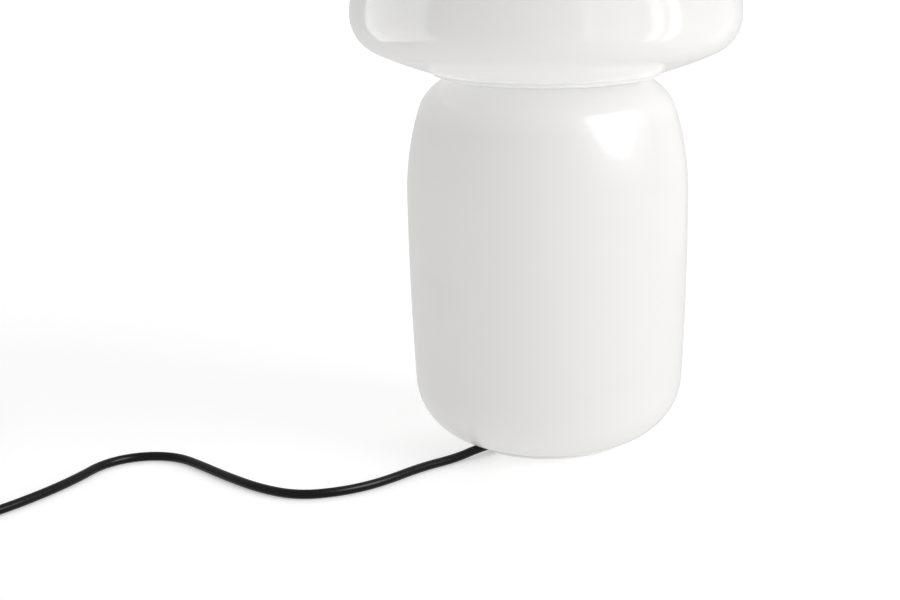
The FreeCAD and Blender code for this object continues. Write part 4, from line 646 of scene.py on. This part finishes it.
# %% [markdown]
# The frame is the same kind of ring on top of the housing, with its upper edges bevelled. The
# rocker's two slopes carry three small grip bars each, tilted with the slope. They ride on
# the rocker, so they also take the tilt in which it rests.

# %% Frame and grip bars of the switch
bezel_low, bezel_high = 17.2, 18.2
bezel = bmesh.new()
oblong_ring(bezel, half_length=13.6 * mm, half_width=8.0 * mm, corner=2.6 * mm, band=1.7 * mm,
            low=bezel_low * mm, high=bezel_high * mm)
upper = [edge for edge in bezel.edges
         if all(vertex.co.z > (bezel_high - 0.1) * mm for vertex in edge.verts)
         and len(edge.link_faces) == 2
         and any(abs(face.normal.z) < 0.5 for face in edge.link_faces)]
bmesh.ops.bevel(bezel, geom=upper, offset=0.3 * mm, offset_type="OFFSET", affect="EDGES",
                segments=3, profile=0.5, material=-1)
bezel.transform(switch_place)
switch_bezel = add_piece(bezel, "switch_bezel", "base", black_abs,
                         smooth=False)

# The rocker: half its length, its height in the middle, how much its ends rise, its hinge.
rocker_half, rocker_middle, rocker_rise, rocker_hinge = 10.7, 3.6, 1.6, 13.4
rocker_tilt = math.radians(-7.0)
bar_size = Matrix.Diagonal((0.7 * mm, 7.4 * mm, 0.6 * mm, 1.0))
bars = bmesh.new()
for along in (-9.0, -7.5, -6.0, 6.0, 7.5, 9.0):
    slope = math.atan2(rocker_rise, rocker_half) * math.copysign(1.0, along)
    height = rocker_middle + rocker_rise * abs(along) / rocker_half + 0.1
    bmesh.ops.create_cube(bars, size=1.0, matrix=(
        Matrix.Translation((along * mm, 0.0, height * mm))
        @ Matrix.Rotation(-slope, 4, "Y") @ bar_size))
bmesh.ops.bevel(bars, geom=bars.edges[:], offset=0.2 * mm, offset_type="OFFSET", affect="EDGES",
                segments=3, profile=0.5, material=-1)
bars.transform(switch_place @ Matrix.Translation((0.0, 0.0, rocker_hinge * mm))
               @ Matrix.Rotation(rocker_tilt, 4, "Y"))
rocker_bars = add_piece(bars, "rocker_bars", "rocker", black_button,
                        smooth=False)

# %% [markdown]

# %% The leads
print("declared", lead.name, "and", wound_lead.name)

# %% [markdown]
# The body: a foot arc, a long nearly straight side, a broad shoulder arc and a small neck arc,
# each tangent to the next, with the wall inside. Where two arcs are tangent, their centres
# and the meeting point lie on one line, which gives the meeting points.

# %% Sizes of the glass body
belly_radius = 87.9 * mm
belly_height = 159.5 * mm
body_height = 233.7 * mm
side_arc = 2290.0 * mm
foot_arc = 41.7 * mm
shoulder_arc = 177.0 * mm
neck_arc = 30.3 * mm
body_wall = 3.5 * mm
foot_opening = 44.0 * mm
neck_hole = 33.0 * mm
rim_level = 3.0 * mm
foot_low = 2.0 * mm
edge_round = 0.7 * mm

side_centre = Vector((belly_radius - side_arc, belly_height))
shoulder_centre = Vector((belly_radius - shoulder_arc, belly_height))
foot_z = foot_low + foot_arc
foot_centre = Vector((side_centre.x + math.sqrt(
    (side_arc - foot_arc) ** 2 - (belly_height - foot_z) ** 2), foot_z))
neck_z = body_height - neck_arc
neck_centre = Vector((shoulder_centre.x + math.sqrt(
    (shoulder_arc - neck_arc) ** 2 - (neck_z - belly_height) ** 2), neck_z))


def meeting(large, small, large_arc, small_arc, inward=0.0):
    """Where a large arc and a small one meet, on the outside or a wall further in."""
    return large + (small - large) * ((large_arc - inward) / (large_arc - small_arc))


print("body: foot arc about %.1f, %.1f mm" % tuple(foot_centre / mm))
print("body: neck arc about %.1f, %.1f mm" % tuple(neck_centre / mm))

# %% [markdown]
# The section runs up the outside from the rounded rim of the foot, over the neck's rounded
# edge, down the inside, and round the rim's inner edge back to its start.

# %% The glass body
rim_round = rim_level + edge_round
rim_outside = foot_centre.x + math.sqrt(foot_arc ** 2 - (foot_centre.y - rim_round) ** 2)
inner_arc = foot_arc - body_wall
inner_z = foot_centre.y - math.sqrt(inner_arc ** 2 - (foot_opening - foot_centre.x) ** 2)
foot_side = (side_centre, foot_centre, side_arc, foot_arc)
shoulder_neck = (shoulder_centre, neck_centre, shoulder_arc, neck_arc)
body_section = bmesh.new()
spin_section(body_section, body_section.verts.new((rim_outside, 0.0, rim_round)), [
    (swing_to, foot_centre, *meeting(*foot_side), 36),
    (swing_to, side_centre, belly_radius, belly_height, 24),
    (swing_to, shoulder_centre, *meeting(*shoulder_neck), 24),
    (swing_to, neck_centre, neck_centre.x, body_height, 32),
    (draw_line, neck_hole + edge_round, body_height),
    (swing, (neck_hole + edge_round, body_height - edge_round), -90.0, 4),
    (draw_line, neck_hole, body_height - body_wall),
    (draw_line, neck_centre.x, body_height - body_wall),
    (swing_to, neck_centre, *meeting(*shoulder_neck, body_wall), 24),
    (swing_to, shoulder_centre, belly_radius - body_wall, belly_height, 16),
    (swing_to, side_centre, *meeting(*foot_side, body_wall), 16),
    (swing_to, foot_centre, foot_opening, inner_z, 24),
    (draw_line, foot_opening, rim_round),
    (swing, (foot_opening + edge_round, rim_round), -90.0, 4),
    (draw_line, rim_outside - 2.0 * edge_round, rim_level),
])
body_glass = add_piece(body_section, "body_glass", "base", body_opal,
                       ["glass_body"])

# %% [markdown]
# The lead leaves through a notch, which is cut into the foot with a boolean: the cutter is a
# box with a round top that reaches from inside the foot to outside it. The result is applied,
# so that no modifier stays on the piece.

# %% The notch
notch_half = 3.55 * mm
notch_spring = 5.5 * mm
cut_inside, cut_length, cut_below = 35.0 * mm, 45.0 * mm, 2.0 * mm
cutter = bmesh.new()
first = cutter.verts.new((cut_inside, -notch_half, -cut_below))
spring = cutter.verts.new((cut_inside, -notch_half, notch_spring))
cutter.edges.new((first, spring))
arch = bmesh.ops.spin(cutter, geom=[spring], cent=(cut_inside, 0.0, notch_spring),
                      axis=(1.0, 0.0, 0.0), angle=-math.pi, steps=24)
far_spring = [part for part in arch["geom_last"] if isinstance(part, bmesh.types.BMVert)][0]
last = cutter.verts.new((cut_inside, notch_half, -cut_below))
cutter.edges.new((far_spring, last))
cutter.edges.new((last, first))
bmesh.ops.contextual_create(cutter, geom=cutter.edges[:])
grown = bmesh.ops.extrude_face_region(cutter, geom=cutter.faces[:])
moved = [part for part in grown["geom"] if isinstance(part, bmesh.types.BMVert)]
bmesh.ops.translate(cutter, verts=moved, vec=(cut_length, 0.0, 0.0))
bmesh.ops.recalc_face_normals(cutter, faces=cutter.faces)
bmesh.ops.rotate(cutter, verts=cutter.verts, cent=(0.0, 0.0, 0.0),
                 matrix=Matrix.Rotation(math.radians(225.0), 3, "Z"))
cutter_piece = add_object("notch_cutter", mesh_of(cutter, "notch_cutter"))
cut = body_glass.modifiers.new("notch", "BOOLEAN")
cut.object = cutter_piece
cut.solver = "EXACT"
bpy.context.view_layer.update()
cut_mesh = bpy.data.meshes.new_from_object(
    body_glass.evaluated_get(bpy.context.evaluated_depsgraph_get()))
body_glass.modifiers.clear()
body_glass.data = cut_mesh
bpy.data.objects.remove(cutter_piece)
print("body with its notch:", len(cut_mesh.polygons), "faces")

# %% [markdown]
# The shade: a slightly sloping underside, a corner arc up to its widest circle, and a dome of
# two arcs. It is the only large form that the photograph cuts off, so the dome is the usual
# one for such a shade. It rests on a thin ring, which lies on the body's shoulder, so its
# height follows from the arc of the neck.

# %% Sizes of the shade
shade_radius = 120.1 * mm
shade_height = 79.5 * mm
shade_wall = 3.0 * mm
dome_arc = 62.0 * mm
corner_arc = 24.4 * mm
skirt_arc = 234.0 * mm
skirt_angle = math.radians(24.6)
lip_radius = 64.0 * mm
lip_ring_thickness = 1.7 * mm
seat_gap = 0.3 * mm

skirt_x = shade_radius - corner_arc + (corner_arc - skirt_arc) * math.sin(skirt_angle)
ring_inner = lip_radius - lip_ring_thickness
shoulder_level = neck_z + math.sqrt(neck_arc ** 2 - (ring_inner - neck_centre.x) ** 2)
skirt_centre = Vector((skirt_x, shoulder_level + seat_gap + math.sqrt(
    (skirt_arc + lip_ring_thickness) ** 2 - (ring_inner - skirt_x) ** 2)))
equator = skirt_centre.y - (skirt_arc - corner_arc) * math.cos(skirt_angle)
crown = equator + shade_height
dome_centre = Vector((shade_radius - dome_arc, equator))
crown_arc = ((dome_centre.x ** 2 + shade_height ** 2 - dome_arc ** 2)
             / (2 * (shade_height - dome_arc)))
crown_centre = Vector((0.0, crown - crown_arc))
corner_centre = Vector((shade_radius - corner_arc, equator))
skirt_way = Vector((math.sin(skirt_angle), -math.cos(skirt_angle)))
print("shade: widest at %.1f mm, crown at %.1f mm" % (equator / mm, crown / mm))

# %% [markdown]
# Its section starts at the lip, goes out and up over the dome to the axis, and comes back on
# the inside. A section that touches its axis leaves loose edges along it, from the outside of
# the crown to its inside. They are deleted.


# %% The glass shade
def under_shade(arc, radius):
    """Height of an arc of the underside at a radius."""
    return skirt_centre.y - math.sqrt(arc ** 2 - (radius - skirt_centre.x) ** 2)


dome_crown = (crown_centre, dome_centre, crown_arc, dome_arc)
shade_section = bmesh.new()
shade_lip = shade_section.verts.new((lip_radius, 0.0, under_shade(skirt_arc, lip_radius)))
spin_section(shade_section, shade_lip, [
    (swing_to, skirt_centre, *(corner_centre + skirt_way * corner_arc), 16),
    (swing_to, corner_centre, shade_radius, equator, 32),
    (swing_to, dome_centre, *meeting(*dome_crown), 40),
    (swing_to, crown_centre, 0.0, crown, 32),
    (draw_line, 0.0, crown - shade_wall),
    (swing_to, crown_centre, *meeting(*dome_crown, shade_wall), 24),
    (swing_to, dome_centre, shade_radius - shade_wall, equator, 32),
    (swing_to, corner_centre, *(corner_centre + skirt_way * (corner_arc - shade_wall)), 24),
    (swing_to, skirt_centre, lip_radius, under_shade(skirt_arc - shade_wall, lip_radius), 12),
])
on_axis = 0.001 * mm
crown_line = [edge for edge in shade_section.edges
              if all(abs(vertex.co.x) < on_axis and abs(vertex.co.y) < on_axis
                     for vertex in edge.verts)]
bmesh.ops.delete(shade_section, geom=crown_line, context="EDGES")
shade_glass = add_piece(shade_section, "shade_glass", "shade", shade_opal,
                        ["glass_shade"])

# %% [markdown]
# What the lamp keeps from the solid model gets its finish here, and so do the two solids that
# the glass pieces stand for: assigning to a node's own material slots changes its look and
# leaves its mesh alone.

# %% Finishes of the carried-over parts
for finish, names in (
        (black_rubber, ("cord_grommet",)),
        (white_steel, ("base_pan", "neck_basket")),
        (clear_silicone, ("foot_pad", "rim_gasket", "neck_gasket", "shade_lip_ring")),
        (zinc_steel, ("stem_tube", "stem_nuts", "stem_washers", "bush_screw", "clamp_screws",
                      "switch_screws")),
        (white_holder, ("holder_cap", "cord_clamp", "holder_barrel")),
        (brass, ("holder_bush", "terminal_screws", "screw_shell", "switch_contacts")),
        (porcelain, ("holder_insulator",)),
        (bronze, ("centre_contact",)),
        (black_pvc, ("inner_lead", "switch_cord_ends")),
        (core_sheath, ("core_wires", "switch_cores")),
        (black_abs, ("switch_lower", "switch_upper", "plug_body")),
        (black_button, ("switch_rocker", "plug_sleeves")),
        (nickel, ("bulb_contact", "bulb_screw_cap", "plug_pins")),
        (sealing_glass, ("bulb_insulator",)),
        (bulb_plastic, ("bulb_housing",)),
        (frosted_globe, ("bulb_globe",)),
        (circuit_board, ("bulb_driver_board",)),
        (board_aluminium, ("bulb_led_plate",)),
        (phosphor_gel, ("bulb_leds",)),
        (body_opal, ("glass_body",)),
        (shade_opal, ("glass_shade",))):
    for name in names:
        for slot in frame["nodes"][name].material_slots:
            slot.material = finish.material
    print(finish.material.name, "on", ", ".join(names))

# %% [markdown]
# The floor is a sheet of white acrylic lit a little from below, as on a light table. That is
# why the photograph's floor is pure white with only a breath of shadow. The rims of the glass
# stay a little darker than it, so the glass mirrors the even tent around it and not the floor,
# which is turned off for reflections.

# %% The floor
floor_half = 12.0
acrylic = new_finish("lit_white_acrylic", {
    "Base Color": colour("E8E8E8"),
    "Roughness": 0.9,
    "Specular IOR Level": 0.1,
    "Emission Color": colour("FFFFFF"),
    "Emission Strength": 0.37,
})
sheet = bmesh.new()
bmesh.ops.create_grid(sheet, x_segments=1, y_segments=1, size=floor_half)
floor = finished_object(sheet, "floor", acrylic)
floor.visible_glossy = False
print("floor", 2 * floor_half, "m wide")

# %% [markdown]
# Far behind the lamp, at the edge of the floor, stands a ring of white paper, so that the lamp
# has a pale ground from every side. Only the camera sees it: it neither blocks nor adds light.

# %% The backdrop
paper_radius = 11.5
paper_height = 40.0
paper = new_finish("white_background_paper", {
    "Base Color": colour("000000"), "Roughness": 1.0, "Specular IOR Level": 0.0,
    "Emission Color": colour("FFFFFF"), "Emission Strength": 0.8})
ring = bmesh.new()
bmesh.ops.create_cone(ring, cap_ends=False, segments=96, radius1=paper_radius,
                      radius2=paper_radius, depth=paper_height)
backdrop = finished_object(ring, "backdrop", paper)
backdrop.visible_diffuse = False
backdrop.visible_glossy = False
backdrop.visible_transmission = False
backdrop.visible_shadow = False
print("backdrop", paper_radius, "m away")

# %% [markdown]
# Light. The studio is a white tent, so some light comes evenly from all round. Three large
# boxes on the right make that side of the lamp brighter, a weak high one on the left fills
# the shoulders, and one that hangs level behind keeps the floor white up to the horizon. They
# are turned off for reflections, because in polished glass they would show as tall bright
# bands, and none of the lights shows itself to the camera.

# %% World and soft boxes
tent_light = 0.5
scene = bpy.context.scene
scene.view_settings.view_transform = "Standard"
world = bpy.data.worlds.new("white_tent")
scene.world = world
world.use_nodes = True
sky = world.node_tree.nodes["Background"]
sky.inputs["Color"].default_value = colour("FFFFFF")
sky.inputs["Strength"].default_value = tent_light


def soft_box(name, azimuth, distance, width, low, high, brightness, shape="RECTANGLE"):
    """An upright area light that faces the lamp's axis, azimuth degrees to the right."""
    angle = math.radians(azimuth)
    light = bpy.data.lights.new(name, "AREA")
    light.shape = shape
    light.size = width
    light.size_y = high - low
    area = width * (high - low) * (math.pi / 4 if shape == "ELLIPSE" else 1.0)
    light.energy = brightness * area * math.pi
    box = add_object(name, light)
    box.location = (distance * math.sin(angle), -distance * math.cos(angle), (low + high) / 2)
    box.rotation_euler = (math.radians(90.0), 0.0, angle)
    box.visible_camera = False
    print(name, "at", [round(value, 2) for value in box.location], "m")
    return box


# Each row: name, azimuth in degrees, then distance, width, low and high in metres, brightness.
boxes = [soft_box(*row) for row in (
    ("front_box", 30.0, 1.6, 1.0, 0.05, 1.8, 0.6),
    ("key_box", 65.0, 1.6, 1.0, 0.05, 1.8, 2.55),
    ("side_box", 85.0, 1.6, 1.0, 0.05, 1.8, 0.5),
    ("left_box", -60.0, 1.3, 1.2, 1.0, 2.2, 0.25),
    ("back_box", 180.0, 3.4, 5.0, 0.7, 3.7, 1.7))]
for box in boxes:
    box.visible_glossy = False
back_box = boxes[-1]
back_box.rotation_euler = (0.0, 0.0, 0.0)

# %% [markdown]
# What polished glass mirrors is set apart from what lights it, as a photographer does with
# strips and black flags. These boxes show only as reflections, and light linking keeps each
# to its own pieces. The ones for the body make the soft bright patch on its shoulder and the
# thin line of light along the lead. Two more give the metal and plastic parts an edge to
# shine with.


# %% Reflections in the body and the small parts
def shine_only(box, *pieces):
    """Let a light show in the reflections of some pieces only, and light nothing else."""
    box.visible_diffuse = False
    box.visible_transmission = False
    seen = bpy.data.collections.new(box.name + "_seen_by")
    for piece in pieces:
        seen.objects.link(piece)
    box.light_linking.receiver_collection = seen


for row in (
        ("patch_core", 63.0, 1.0, 0.95, 0.34, 1.30, 4.8, "ELLIPSE"),
        ("patch_glow", 64.0, 1.0, 1.40, 0.24, 1.50, 1.4, "ELLIPSE"),
        ("patch_edge", 64.0, 1.0, 1.80, 0.18, 1.70, 0.6, "ELLIPSE")):
    shine_only(soft_box(*row), body_glass, lead, wound_lead)
shine_only(soft_box("body_rim_strip", 125.0, 0.6, 0.4, 0.0, 1.0, 0.2), body_glass)
hardware = [node for name, node in frame["nodes"].items() if "glass" not in name]
shine_only(soft_box("hardware_box", 38.0, 1.2, 0.5, 0.25, 1.25, 4.0), *hardware)
shine_only(soft_box("hardware_side", -75.0, 1.2, 0.3, 0.1, 1.1, 2.0), *hardware)

# %% [markdown]
# The shade mirrors a row of upright strips that stand close to it. Each runs from one azimuth
# to another, in degrees to the right of the camera's side.

# %% Reflections in the shade
strip_distance, strip_low, strip_high = 0.45, 0.03, 1.0
for name, first, last, brightness in (
        ("left_strip", -115.0, -60.0, 2.0),
        ("thin_strip", 19.5, 24.5, 2.0),
        ("left_pane", 26.0, 48.0, 0.75),
        ("bright_strip", 55.0, 62.8, 3.6),
        ("second_strip", 66.2, 73.5, 3.6),
        ("rim_strip", 110.0, 126.0, 0.3)):
    width = strip_distance * math.radians(last - first)
    shine_only(soft_box(name, (first + last) / 2, strip_distance, width, strip_low, strip_high,
                        brightness), shade_glass)
